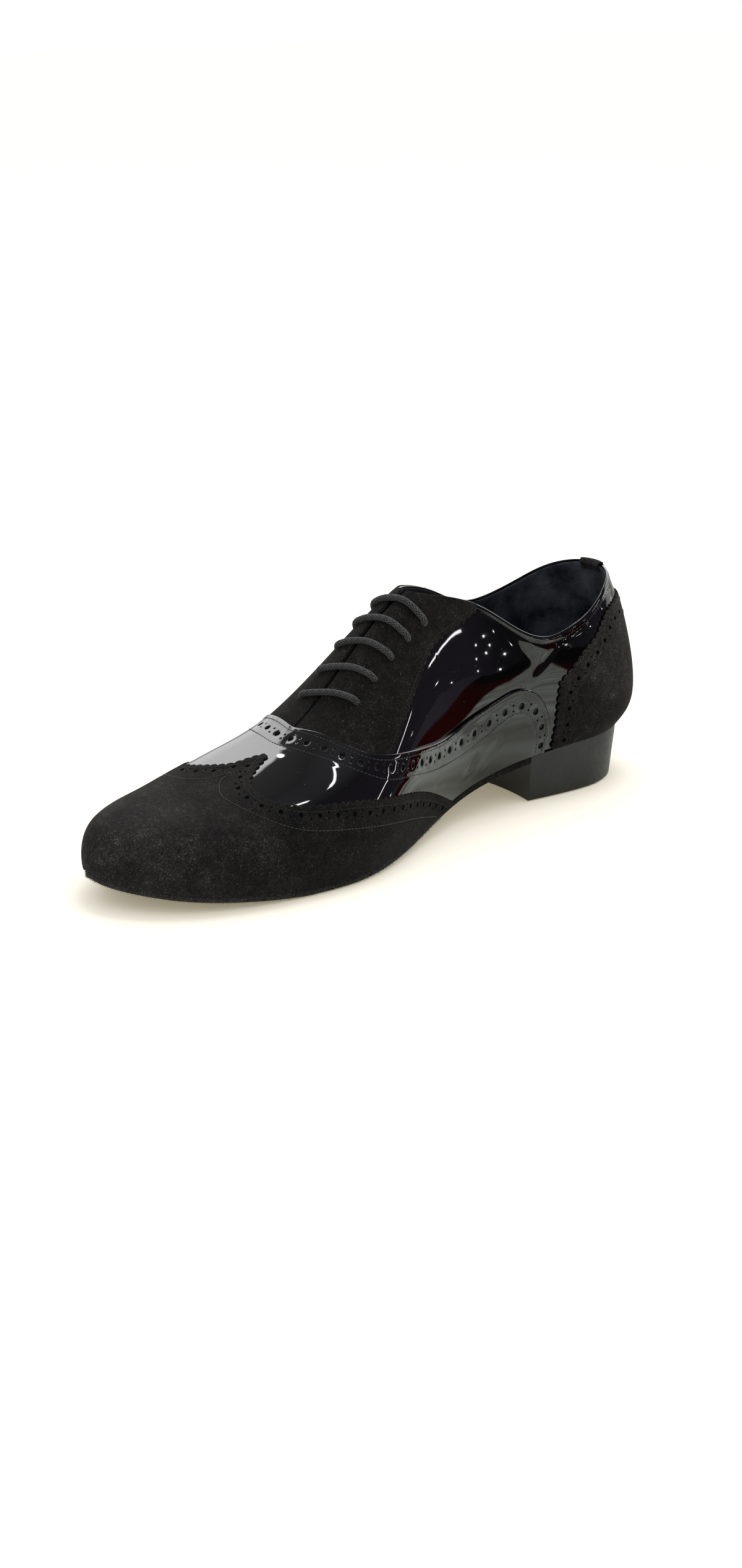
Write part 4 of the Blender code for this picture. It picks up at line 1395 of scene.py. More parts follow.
class SHOE_OT_vamp(bpy.types.Operator):
    """Adds the patent vamp with its folded band and brogue holes."""
    bl_idname = "dance_shoe.vamp"
    bl_label = "Vamp"

    def execute(self, context):
        sizes = context.scene.dance_shoe_sizes
        band = across_line(BAND_EDGE, 0.7)
        inner = across_line(BAND_STITCH, 0.5)
        tucked = shifted(across_line(CAP_EDGE, 0.9), CAP_OVERLAP)
        left, right = feet(BAND_EDGE[-1][0], CAP_EDGE[-1][0] + CAP_OVERLAP)
        outline = chain(band, right[1:-1], tucked[::-1][1:-1], left[::-1][:-1])
        middle = row_between(band, inner, BAND_HOLE_SHARE, 700)
        pitch = sizes.hole_pitch * BAND_PITCH_FACTOR
        radius = sizes.hole_radius * BAND_HOLE_FACTOR
        holes = brogue_holes(middle, pitch, radius, sizes.pin_radius, BAND_PIN_SPREAD)
        holes = holes_inside(holes, outline, HOLE_CLEARANCE)
        large = np.array([centre for centre, radius in holes if radius > SMALL_HOLE])
        relief = pressed(
            VAMP_WAVES,
            over_line(band, rolled_edge),
            over_line(shifted(band, BAND_SEAM), groove),
            over_line(inner, groove),
            over_line(large, dished_hole),
            lambda flat: -creases(ridge_chart(flat, 0.0), WAIST_CREASES),
        )
        piece = cut_panel("vamp", outline, holes, sizes.mesh_step, ridge_chart, VAMP_LAYER, PATENT_ROUNDING,
                          finish("black patent"), relief)
        settle(piece, "patent", "vamp")
        return {"FINISHED"}


# Creases on the outer side: station, height, turn in degrees, half length, half width and depth.
# A negative depth is a raised lip.
WAIST_CREASES = (
    (109.2, 26.4, 143, 5.0, 2.2, 0.62),
    (107.5, 24.1, 143, 5.0, 2.0, -0.26),
    (98.1, 27.6, 134, 7.0, 1.9, 0.36),
    (96.5, 26.1, 134, 7.0, 1.8, -0.16),
    (131.0, 30.0, 128, 9.0, 2.2, 0.12),
)
QUARTER_CREASES = (
    (66.0, 66.0, 139, 10.0, 1.8, 0.42),
    (84.0, 52.0, 141, 12.0, 3.0, 0.12),
    (128.0, 57.0, 120, 9.0, 2.6, 0.06),
)


def creases(points, rows):
    """The depth of soft troughs on the shoe's outer side."""
    depth = np.zeros(points.shape[:-1])
    for station, height, turn, half_length, half_width, size in rows:
        turn = math.radians(turn)
        forward = points[..., 0] - station
        upward = points[..., 2] - height
        lengthwise = (forward * math.cos(turn) + upward * math.sin(turn)) / half_length
        sideways = (upward * math.cos(turn) - forward * math.sin(turn)) / half_width
        depth += size * np.exp(-lengthwise ** 2 - sideways ** 2)
    return np.where(points[..., 1] > 0, depth, 0.0)


def over_line(line, profile):
    """A height that depends on the distance from the points of a line."""
    reach = nearest(line)
    return lambda flat: profile(reach(flat))


def groove(reach):
    """A stitch line pulls the skin down."""
    return -0.10 * np.exp(-(reach / 0.7) ** 2)


def rolled_edge(reach):
    """A folded edge stands up as a narrow roll."""
    return 0.26 * np.exp(-((reach - 1.0) / 0.75) ** 2)


def dished_hole(reach):
    """A punch presses the skin down round its hole."""
    return -0.20 * np.exp(-(reach / 1.9) ** 2)


def eyelet(index, side):
    """The flat place of an eyelet; the bars run from the left down to the right."""
    near = LACE_FIRST - index * LACE_PITCH
    if side > 0:
        return np.array([float(pattern_at(near)), EYELET_LEFT])
    return np.array([float(pattern_at(near + LACE_SLANT)), -EYELET_RIGHT])


def facing_lines(side, step):
    """The facing's edges: slit, collar, rear and band."""
    stations = np.linspace(THROAT - 0.5, FACING_TOP, 80)
    slit = even_steps(np.stack([pattern_at(stations), side * slit_width(stations)], -1), step)
    collar_stations = np.linspace(FACING_TOP, EYESTAY_REAR[0][0], 60)
    runs = run_at(collar_stations)
    from_ridge = girth(runs, side) - height_up(runs, side, wall_top(runs, side))
    collar = even_steps(np.stack([pattern_at(collar_stations), side * from_ridge], -1), step)
    rear = smooth_line(edge_points(EYESTAY_REAR, side), step)
    band_rows = [row for row in BAND_EDGE if row[0] >= EYESTAY_REAR[-1][0]]
    band = smooth_line(edge_points(band_rows, side), step)[::-1]
    return slit, collar, rear, band


class SHOE_OT_eyestays(bpy.types.Operator):
    """Adds the two suede facings with their punched eyelets and pinked rear edges."""
    bl_idname = "dance_shoe.eyestays"
    bl_label = "Eyestays"

    def execute(self, context):
        sizes = context.scene.dance_shoe_sizes
        for name, side in (("eyestay_left", 1), ("eyestay_right", -1)):
            slit, collar, rear, band = facing_lines(side, 0.6)
            teeth = pinked(rear, sizes.pink_pitch, side * sizes.pink_depth)
            outline = chain(slit, collar[1:], teeth[3:], band[1:-1])
            eyelet_radius = sizes.lace_diameter * EYELET_FACTOR
            holes = [(eyelet(index, side), eyelet_radius) for index in range(LACE_BARS)]
            stitched = over_line(shifted(rear, -side * FACING_SEAM), groove)
            piece = cut_panel(name, outline, holes, sizes.mesh_step, ridge_chart, EYESTAY_LAYER,
                              FACING_ROUNDING, finish("black suede"), stitched, through=True)
            settle(piece, "suede", name)
        return {"FINISHED"}


def counter_line(step):
    """The counter's edge from the left foot over the heel's back to the right foot, as flat points."""
    front = smooth_line([(height, run) for run, height in COUNTER_FRONT[::-1]], step)
    top = smooth_line([(height, run) for run, height in COUNTER_EDGE[::-1]], step)
    left = np.concatenate([front, top[1:]])
    right = (left * (1, -1))[::-1]
    return np.concatenate([left, right[1:]])


class SHOE_OT_counter(bpy.types.Operator):
    """Adds the suede heel counter with its pinked edge and brogue holes."""
    bl_idname = "dance_shoe.counter"
    bl_label = "Heel Counter"

    def execute(self, context):
        sizes = context.scene.dance_shoe_sizes
        edge = counter_line(0.5)
        edge = edge[edge[:, 0] >= FOOT]
        teeth = pinked(edge, sizes.pink_pitch, sizes.pink_depth)
        foot_run = np.arange(-COUNTER_FRONT[-1][0] + 2, COUNTER_FRONT[-1][0] - 1, 1.2)
        foot = np.stack([np.full_like(foot_run, FOOT), foot_run], -1)
        outline = chain(teeth, foot)
        middle = even_steps(shifted(edge, -COUNTER_HOLE_ROW), 0.5)
        pitch = sizes.hole_pitch * COUNTER_PITCH_FACTOR
        holes = brogue_holes(middle, pitch, sizes.hole_radius, sizes.pin_radius, PIN_SPREAD)
        holes = holes_inside(holes, outline, HOLE_CLEARANCE)
        relief = pressed(SUEDE_WAVES, *(over_line(shifted(edge, -seam), groove) for seam in COUNTER_SEAMS))
        piece = cut_panel("counter", outline, holes, sizes.mesh_step, heel_chart, COUNTER_LAYER,
                          SUEDE_ROUNDING, finish("black suede"), relief)
        settle(piece, "suede", "counter")
        return {"FINISHED"}


def wall_frame(run, side, rise):
    """A place on the wall with its directions outwards and up the wall."""
    point = last_point(run, side, rise)
    upward = last_point(run, side, rise + RISE_NUDGE) - last_point(run, side, rise - RISE_NUDGE)
    upward /= np.linalg.norm(upward, axis=-1, keepdims=True)
    return point, last_normal(run, side, rise), upward


class SHOE_OT_back_strip(bpy.types.Operator):
    """Adds the suede strip over the back seam; its tab folds over the collar."""
    bl_idname = "dance_shoe.back_strip"
    bl_label = "Back Strip"

    def execute(self, context):
        low, high = STRIP_LAYER
        inner = -SKIN_THICK - LINING_THICK - 0.1
        outer_reach = (high - inner + high - low) / 2
        centre = high - outer_reach
        turn = np.linspace(0, math.pi, 12)[1:-1, None]
        rows = []
        for across in np.linspace(-STRIP_HALF_WIDTH, STRIP_HALF_WIDTH, 31):
            side = 1 if across >= 0 else -1
            run = np.array([abs(across)])
            top = wall_top(run, side)
            top_height = height_up(run, side, top)[0]
            heights = np.linspace(COUNTER_EDGE[0][1] - 2.0, top_height, STRIP_ROWS)
            runs = np.full(STRIP_ROWS, run[0])
            rises = rise_at(runs, side, heights / girth(run, side))
            point, out, up = wall_frame(runs, side, rises)
            thin = 1 - 0.8 * max(0.0, abs(across) / STRIP_HALF_WIDTH - 0.9) / 0.1
            layers = []
            thick = (high - low) * thin
            skins = ((low + thick, inner - thick, outer_reach), (low, inner, outer_reach - STRIP_SKIN))
            for lift, back, reach in skins:
                face = point + lift * out
                fold_out = (centre + reach * np.cos(turn)) * out[-1]
                fold_up = 0.75 * reach * np.sin(turn) * up[-1]
                behind = (point + back * out)[:-7:-1]
                layers.append(np.concatenate([face, point[-1] + fold_out + fold_up, behind]))
            rows.append(np.concatenate([layers[0], layers[1][::-1]]))
        piece = loft("back_strip", rows, finish("black suede"))
        settle(piece, "suede", "back_strip")
        return {"FINISHED"}


def quarter_runs():
    """Runs of the wall's fine sections, with one at each change of its upper edge."""
    fan = np.linspace(0, FAN_RUN, 66, endpoint=False)
    collar = run_at(np.linspace(HEEL_AXIS, FACING_TOP, 100, endpoint=False))
    facing = run_at(np.linspace(FACING_TOP, THROAT, 44, endpoint=False))
    toe = run_at(LENGTH - (LENGTH - THROAT) * np.linspace(1, 0, 40) ** 1.7)
    return np.concatenate([fan, collar, facing, toe])


FLARE_LEAN = 0.75
FLARE_DEPTH = 6.5
FLARE_STATION = 71.0
FLARE_REACH = 15.0


def flare(points, below):
    """The collar leans outwards at its low point on the outer side."""
    ahead = (points[..., 0] - FLARE_STATION) / FLARE_REACH
    lean = FLARE_LEAN * np.exp(-(below / FLARE_DEPTH) ** 2 - ahead ** 2)
    return np.where(points[..., 1] > 0, lean, 0.0)


def topline(runs, below):
    """A rolled edge over a stitch line that puckers the skin."""
    pucker = 0.6 + 0.4 * np.sin(runs * 1.7) * np.sin(runs * 1.13 + 1.0)
    roll = 0.22 * np.exp(-((below - 0.9) / 0.9) ** 2)
    return roll - 0.12 * pucker * np.exp(-((below - 2.7) / 0.9) ** 2)


def wall_shell(name, runs, columns, outer, inner, drop, material, relief=None):
    """A shell between two depths of the wall, with a round upper edge, on both sides of the shoe."""
    points = []
    faces = []
    middle = (outer + inner) / 2
    reach = (outer - inner) / 2
    face_shares = 1 - (1 - np.linspace(0, 1, columns)) ** 1.5
    back_columns = columns // 3
    back_shares = 1 - np.linspace(0, 1, back_columns) ** 1.5
    turn = np.linspace(0, math.pi, 8)[None, 1:-1, None]
    for side in (1, -1):
        closed = runs >= run_at(THROAT) - 1e-6
        top = np.minimum(wall_top(runs, side), 1.0)
        top = np.where(closed, top, top - drop / girth(runs, side))
        height = np.where(closed, 1e3, height_up(runs, side, top))

        def sheet(shares, lift, form):
            rise = top[:, None] * shares[None]
            grid_runs = np.broadcast_to(runs[:, None], rise.shape)
            below = height[:, None] * (1 - shares[None]) + np.where(closed, 1e3, 0.0)[:, None]
            place = last_point(grid_runs, side, rise)
            lean = lift + flare(place, below)
            if form:
                lean = lean + form(grid_runs, side, rise, place, below)
            return upper_point(grid_runs, side, rise, lean)

        edge, out, up = wall_frame(runs, side, np.where(closed, 1.0, top))
        lean = np.where(closed, 0.0, flare(edge, np.zeros(len(runs))))
        edge = edge + lean[:, None] * out
        high = np.where(closed, 0.0, 1.0)[:, None, None] * reach * np.sin(turn)
        bead = edge[:, None] + (middle + reach * np.cos(turn)) * out[:, None] + high * up[:, None]
        rows = np.concatenate([sheet(face_shares, outer, relief), bead, sheet(back_shares, inner, None)], 1)
        size = rows.shape[1]
        start = len(points)
        points += list(rows.reshape(-1, 3))
        for i in range(len(runs) - 1):
            for j in range(size):
                if closed[i] and columns - 1 <= j < size - back_columns:
                    continue
                k = (j + 1) % size
                a = start + i * size
                b = a + size
                faces.append((a + j, a + k, b + k, b + j))
    return add_mesh(name, points, faces, material)


class SHOE_OT_upper(bpy.types.Operator):
    """Adds the patent quarters with their rolled topline, and the lining inside them."""
    bl_idname = "dance_shoe.upper"
    bl_label = "Upper and Lining"

    def execute(self, context):
        def waves(runs, side, rise, place, below):
            flat = np.stack([runs.ravel(), (side * 300 + rise * 100).ravel()], -1)
            slow = ripple(flat, QUARTER_WAVES).reshape(runs.shape)
            return slow + topline(runs, below) - creases(place, QUARTER_CREASES)

        runs = quarter_runs()
        quarters = wall_shell("quarters", runs, 66, 0.0, -SKIN_THICK, 0.0, finish("black patent"), waves)
        settle(quarters, "patent", "upper")
        depth = -SKIN_THICK - 0.05
        lining = wall_shell("lining", runs[::2], 40, depth, depth - LINING_THICK, 0.6, finish("navy lining"))
        settle(lining, "lining")
        return {"FINISHED"}


class SHOE_OT_tongue(bpy.types.Operator):
    """Adds the suede tongue under the facings."""
    bl_idname = "dance_shoe.tongue"
    bl_label = "Tongue"

    def execute(self, context):
        width = TONGUE_HALF_WIDTH
        base, top = (float(pattern_at(station)) for station in (TONGUE_BASE, TONGUE_TOP))
        turn = np.linspace(-math.pi / 2, math.pi / 2, 24)
        shoulder = top + TONGUE_CROWN
        crown = np.stack([shoulder - TONGUE_CROWN * np.cos(turn), width * np.sin(turn)], -1)
        foot = np.array([(base, width), (base, 0.0), (base, -width)])
        right = even_steps(np.array([(base, -width), (shoulder, -width)]), 3.0)
        left = even_steps(np.array([(shoulder, width), (base, width)]), 3.0)
        outline = even_outline(chain(foot, right, crown, left), 2.0)
        piece = cut_panel("tongue", outline, [], 2.2, ridge_chart, TONGUE_LAYER, TONGUE_ROUNDING,
                          finish("black suede"))
        settle(piece, "suede", "tongue")
        return {"FINISHED"}


def even_outline(outline, step):
    """A closed outline cut at even steps."""
    return even_steps(np.concatenate([outline, outline[:1]]), step)[:-1]


def sole_edges(runs, margin):
    """The sole's edge on both sides, moved outwards by a margin, with the floor's height."""
    left = last_point(runs, 1, np.zeros_like(runs))
    right = last_point(runs, -1, np.zeros_like(runs))
    closed = np.concatenate([left, right[::-1][1:-1]])
    along_it = np.roll(closed, -1, axis=0) - np.roll(closed, 1, axis=0)
    outward = np.stack([-along_it[:, 1], along_it[:, 0]], -1)
    outward /= np.linalg.norm(outward, axis=1, keepdims=True)
    margins = margin * np.ones(len(runs))
    margins = np.concatenate([margins, margins[::-1][1:-1]])
    closed[:, :2] += margins[:, None] * outward
    return closed[:len(runs)], np.concatenate([closed[:1], closed[:len(runs) - 2:-1]])


def plate(name, runs, margin, top, bottom, edge, material):
    """A plate across the sole with rounded edges, between two heights that follow the floor."""
    profile = ((1.0, 0.0), (0.29, 0.29), (0.0, 1.0))
    across = np.linspace(0, 1, 9)[1:-1]
    rings = []
    for level, sign in ((top, -1), (bottom, 1)):
        for inward, drop in (profile if sign < 0 else profile[::-1]):
            left, right = sole_edges(runs, margin - inward * edge)
            for line in (left, right):
                line[:, 2] = level(line[:, 2]) + sign * drop * edge
            rings.append((left, right))
    left_side = [ring[0] for ring in rings]
    right_side = [ring[1] for ring in rings][::-1]
    under = [left_side[-1] + (right_side[0] - left_side[-1]) * share for share in across]
    over = [right_side[-1] + (left_side[0] - right_side[-1]) * share for share in across]
    rows = np.stack(left_side + under + right_side + over, 1)
    return loft(name, rows, material)


def insole_top(floor):
    return floor + INSOLE_THICK


def insole_bottom(floor):
    return floor


def sole_top(floor):
    return floor - GAP


def sole_bottom(floor):
    """The tread; it lies flat on the ground under the ball."""
    return np.maximum(floor - GAP - SOLE_THICK, 0)


def sole_runs():
    fan = np.linspace(0, FAN_RUN, 40, endpoint=False)
    return np.concatenate([fan, run_at(LENGTH - (LENGTH - HEEL_AXIS) * np.linspace(1, 0, 130) ** 1.5)])


class SHOE_OT_sole(bpy.types.Operator):
    """Adds the napped suede sole, its edge fibres and the insole."""
    bl_idname = "dance_shoe.sole"
    bl_label = "Sole and Insole"

    def execute(self, context):
        sizes = context.scene.dance_shoe_sizes
        runs = sole_runs()
        station = runs - FAN_RUN + HEEL_AXIS
        over_heel = np.clip((HEEL_LENGTH + SEAT_START - station) / SEAT_REACH, 0, 1)
        margin = SOLE_MARGIN - SEAT_INSET * over_heel
        sole = plate("outsole", runs, margin, sole_top, sole_bottom, 0.6, finish("sole nap"))
        settle(sole, "sole_suede", "outsole")
        insole = plate("insole", runs, -INSOLE_INSET, insole_top, insole_bottom, 0.7, finish("navy lining"))
        settle(insole, "lining", "insole")
        nap = bpy.data.objects.new("sole_nap", sole_edge_faces(sole.data))
        context.scene.collection.objects.link(nap)
        fibres = {
            "Density": FIBRE_DENSITY,
            "Fibre Length": FIBRE_LENGTH * MM,
            "Fibre Radius": FIBRE_RADIUS * MM,
            "Seed": sizes.seed,
            "Fibre": finish("nap fibre"),
        }
        apply_tree(nap, fuzz_tree(), fibres)
        for point in nap.data.vertices:
            point.co.z = max(point.co.z, 0.0)
        settle(nap, "sole_suede")
        return {"FINISHED"}


def sole_edge_faces(data):
    """The upright and lower faces round the forefoot's sole, as a mesh of their own."""
    shape = bmesh.new()
    shape.from_mesh(data)
    waist = (MIDDLE_STATION - NAP_START) * MM
    bare = [
        face for face in shape.faces
        if face.normal.z > 0.3 or face.normal.z < -0.8 or face.calc_center_median().y > waist
    ]
    bmesh.ops.delete(shape, geom=bare, context="FACES")
    edge = bpy.data.meshes.new("sole_nap")
    shape.to_mesh(edge)
    shape.free()
    return edge


def heel_level(share):
    """The heel's outline at a share of its height."""
    whole = sole_runs()
    fan = np.linspace(0, FAN_RUN, 48, endpoint=False)
    runs = np.concatenate([fan, run_at(np.linspace(HEEL_AXIS, HEEL_LENGTH, 26))])
    down = 1 - share
    margin = SOLE_MARGIN / 2 + HEEL_MARGIN - HEEL_TAPER * down
    if share == HEEL_LEVELS[-1]:
        margin -= HEEL_ROUNDING
    edges = []
    for edge in sole_edges(whole, margin):
        line = np.stack([np.interp(runs, whole, edge[:, k]) for k in range(3)], -1)
        forward = np.clip(line[:, 0] / HEEL_LENGTH, 0, 1)
        line[:, 0] += HEEL_RAKE * down * (1 - forward)
        line[:, 2] = share * (line[:, 2] - 0.2)
        edges.append(line)
    left, right = edges
    breast = np.linspace(0, 1, 40)[1:-1]
    front = left[-1] + (right[-1] - left[-1]) * breast[:, None]
    front[:, 0] -= BREAST_HOLLOW * (1 - (2 * breast - 1) ** 2)
    under_sole = sole_bottom(last_size("floor", front[:, 0])) - 0.02
    front[:, 2] = share * under_sole if share > 0.8 else left[-1, 2]
    return np.concatenate([left, front, right[::-1][:-1]])


class SHOE_OT_heel(bpy.types.Operator):
    """Adds the satin block heel with its hollow breast."""
    bl_idname = "dance_shoe.heel"
    bl_label = "Heel"

    def execute(self, context):
        levels = [heel_level(share) for share in HEEL_LEVELS]
        size = len(levels[0])
        faces = tube(len(levels), size)
        for level in (0, len(levels) - 1):
            flat = [Vector(point[:2]) for point in levels[level]]
            ring = [(j, (j + 1) % size) for j in range(size)]
            _, _, triangles, sources, _, _ = delaunay_2d_cdt(flat, ring, [], 2, 1e-7)
            faces += [tuple(level * size + sources[i][0] for i in face) for face in triangles]
        piece = add_mesh("heel", np.concatenate(levels), faces, finish("satin heel"))
        settle(piece, "heel_block", "heel")
        return {"FINISHED"}


def lace_route(radius):
    """The lace's way over the facings and under them, as flat points with a height and a flatness."""
    top = EYESTAY_LAYER[1] + radius
    under = TONGUE_LAYER[1] + 0.66
    dive = ((0.0, -0.7, 0.3), (0.25, 0.6, 0.0), (1.5, top - 0.25, 0.0))
    route = []
    for index in range(LACE_BARS):
        near, far = eyelet(index, 1), eyelet(index, -1)
        reach = np.linalg.norm(far - near)
        direction = (far - near) / reach
        for distance, lift, flatness in dive:
            route.append((*(near + distance * direction), lift, flatness))
        for share in np.linspace(0.14, 0.86, 7):
            route.append((*(near + share * reach * direction), top, 0.0))
        for distance, lift, flatness in dive[::-1]:
            route.append((*(far - distance * direction), lift, flatness))
        if index < LACE_BARS - 1:
            following = eyelet(index + 1, 1)
            for share in (0.1, 0.3, 0.5, 0.7, 0.9):
                route.append((*(far + share * (following - far)), under, 1.0))
        else:
            route.append((*(far - 3.0 * direction), under, 1.0))
            route.append((*(far - 7.0 * direction), under, 1.0))
    return np.array(route)


def braid(turn, travel, strands, pitch):
    """The height of a round braid's strands, passing over and under each other."""
    a = travel / pitch + turn * strands / (2 * math.pi)
    b = travel / pitch - turn * strands / (2 * math.pi)
    over = (np.floor(a) + np.floor(b)) % 2 == 0
    return np.where(over, np.sin(math.pi * (a % 1)), np.sin(math.pi * (b % 1)))


class SHOE_OT_lace(bpy.types.Operator):
    """Adds the braided lace, run over the facings and through the eyelets."""
    bl_idname = "dance_shoe.lace"
    bl_label = "Lace"

    def execute(self, context):
        sizes = context.scene.dance_shoe_sizes
        radius = sizes.lace_diameter / 2
        route = lace_route(radius)
        rough = ridge_chart(route[:, :2], route[:, 2])
        reach = path_length(rough)
        travel = np.arange(0, reach[-1], RING_STEP)
        curves = [natural_spline(reach, route[:, k]) for k in range(3)]
        smooth = np.stack([curve(travel) for curve in curves], -1)
        flatness = np.clip(np.interp(travel, reach, route[:, 3]), 0, 1)
        centre = ridge_chart(smooth[:, :2], smooth[:, 2])
        forward = np.gradient(centre, axis=0)
        forward /= np.linalg.norm(forward, axis=1, keepdims=True)
        lengthwise = ridge_chart(smooth[:, :2] + (1.0, 0.0), smooth[:, 2]) - centre
        wide = lengthwise - (lengthwise * forward).sum(1, keepdims=True) * forward
        wide /= np.linalg.norm(wide, axis=1, keepdims=True)
        high = np.cross(wide, forward)
        turn = np.linspace(0, 2 * math.pi, RING_POINTS, endpoint=False)
        strand = braid(turn[None], travel[:, None], BRAID_STRANDS, BRAID_PITCH)
        bulge = 1 + BRAID_BULGE * (strand - BRAID_MIDDLE)
        half_width = (radius * (1 + FLAT_WIDENING * flatness))[:, None] * bulge
        half_height = (radius * (1 - FLAT_THINNING * flatness))[:, None] * bulge
        sideways = (half_width * np.cos(turn))[..., None] * wide[:, None]
        upwards = (half_height * np.sin(turn))[..., None] * high[:, None]
        piece = loft("lace", centre[:, None] + sideways + upwards, finish("braided lace"), strand.ravel())
        settle(piece, "lace", *[f"lace_bar_{index + 1}" for index in range(LACE_BARS)])
        return {"FINISHED"}


class SHOE_OT_stitches(bpy.types.Operator):
    """Adds the rows of stitches along the panels' edges and the topline."""
    bl_idname = "dance_shoe.stitches"
    bl_label = "Stitches"

    def execute(self, context):
        sizes = context.scene.dance_shoe_sizes
        cap = across_line(CAP_EDGE, 0.6)
        band = across_line(BAND_EDGE, 0.6)
        counter = counter_line(0.6)
        counter = counter[counter[:, 0] > 2.0]
        paler = [
            stitch_path(ridge_chart, across_line(CAP_STITCH, 0.6)[4:-4], CAP_LAYER[1]),
            stitch_path(ridge_chart, shifted(band, BAND_SEAM), VAMP_LAYER[1] - STITCH_SINK),
            stitch_path(ridge_chart, across_line(BAND_STITCH, 0.6)[4:-4], VAMP_LAYER[1] - STITCH_SINK),
        ]
        darker = [
            stitch_path(ridge_chart, shifted(cap, CAP_SEAM), CAP_LAYER[1]),
            *(stitch_path(heel_chart, shifted(counter, -seam), COUNTER_LAYER[1]) for seam in COUNTER_SEAMS),
        ]
        for side in (1, -1):
            _, _, rear, _ = facing_lines(side, 0.6)
            darker.append(stitch_path(ridge_chart, shifted(rear, -side * FACING_SEAM), EYESTAY_LAYER[1]))
            paler.append(topline_path(side, TOPLINE_SEAM))
        half_length = STITCH_SHARE * sizes.stitch_pitch
        size = tuple(half * MM for half in (half_length, STITCH_HALF_WIDTH, STITCH_HALF_HEIGHT))
        rows = (("stitches", "sewing thread", paler), ("dark_stitches", "dark thread", darker))
        for name, thread, paths in rows:
            piece = path_mesh(name, paths)
            values = {"Pitch": sizes.stitch_pitch * MM, "Stitch Size": size, "Thread": finish(thread)}
            apply_tree(piece, stitch_tree(), values)
            settle(piece, "suede")
        return {"FINISHED"}


def topline_path(side, below):
    """A stitch line under the collar, from the back strip to the facing."""
    runs = np.linspace(STRIP_HALF_WIDTH + 1.0, run_at(EYESTAY_REAR[0][0]) - 2.0, 300)
    heights = height_up(runs, side, wall_top(runs, side)) - below
    flat = np.stack([heights, side * runs], -1)
    lean = flare(heel_chart(flat, 0.0), np.full(len(runs), below))
    return stitch_path(heel_chart, flat, lean - 0.03)


class SHOE_OT_stage(bpy.types.Operator):
    """Adds the floor, the lights and the camera."""
    bl_idname = "dance_shoe.stage"
    bl_label = "Stage"

    def execute(self, context):
        add_floor(context.scene)
        add_world(context.scene)
        for light in LIGHTS:
            add_light(context.scene, *light)
        add_lamps(context.scene)
        add_camera(context.scene)
        context.scene.view_settings.view_transform = "Standard"
        return {"FINISHED"}


# Lights: two ends, width, power and whether the patent mirrors it
LIGHTS = (
    ("overhead", (-0.90, 0.45, 1.60), (0.40, 0.45, 1.60), 1.00, 7.0, False),
    ("ceiling tube", (-0.291, 0.119, 2.04), (0.262, 0.587, 2.04), 0.060, 2.9, True),
    ("low window", (1.558, 1.224, 0.53), (1.226, 1.462, 0.745), 0.04, 1.15, True),
    ("far lamp", (-1.48, 0.41, 1.34), (-1.41, 0.37, 1.43), 0.04, 0.35, True),
)
# Small lamps of the room: compass angle from the toe and angle over the horizon, in degrees
LAMPS = (
    (125.6, 7.9), (118.0, 8.9), (121.6, 9.4), (123.1, 4.9), (118.0, 3.8), (120.6, 0.6),
    (129.1, 1.4), (114.2, 3.8), (128.0, 4.8), (121.3, 6.2), (144.9, 0.9), (148.2, 6.4),
)
LAMP_REACH = 2.5
LAMP_SIZE = 0.024
LAMP_POWER = 0.05
AIM = Vector((0.0, 0.0, 0.06))
FLOOR_REACH = 12.0
FLOOR_LEVEL = -0.0004


def add_light(scene, name, start, end, width, power, mirrored):
    """A flat light between two ends that faces the shoe."""
    start, end = Vector(start), Vector(end)
    place = (start + end) / 2
    lengthwise = (end - start).normalized()
    sideways = (place - AIM).cross(lengthwise).normalized()
    data = bpy.data.lights.new(name, "AREA")
    length = (end - start).length
    data.shape = "RECTANGLE" if length > 4 * width else "ELLIPSE"
    data.size = length
    data.size_y = width
    data.energy = power
    light = bpy.data.objects.new(name, data)
    turned = Matrix((lengthwise, sideways, lengthwise.cross(sideways))).transposed().to_4x4()
    light.matrix_world = Matrix.Translation(place) @ turned
    light.visible_camera = False
    light.visible_glossy = mirrored
    scene.collection.objects.link(light)


def add_lamps(scene):
    """Small lamps that the patent mirrors as sparkles."""
    for index, angles in enumerate(LAMPS):
        turn, rise = (math.radians(angle) for angle in angles)
        towards = Vector((math.sin(turn) * math.cos(rise), -math.cos(turn) * math.cos(rise), math.sin(rise)))
        place = AIM + LAMP_REACH * towards
        half = Vector((0.0, 0.0, LAMP_SIZE / 2))
        add_light(scene, f"lamp {index + 1}", place - half, place + half, LAMP_SIZE, LAMP_POWER, True)


def over_plane(tree, source, direction, start, end):
    """A share that goes from 0 to 1 between two distances along a direction."""
    return remap(tree, distance_along(tree, source, direction), start, end)


def product(tree, *shares):
    """The product of several shares."""
    result = shares[0]
    for share in shares[1:]:
        result = calculate(tree, "MULTIPLY", result, share)
    return result


def mix_shaders(tree, share, first, second):
    """A shader between two others."""
    values = {"Fac": share, 1: first, 2: second}
    return new_node(tree, "ShaderNodeMixShader", values).outputs["Shader"]


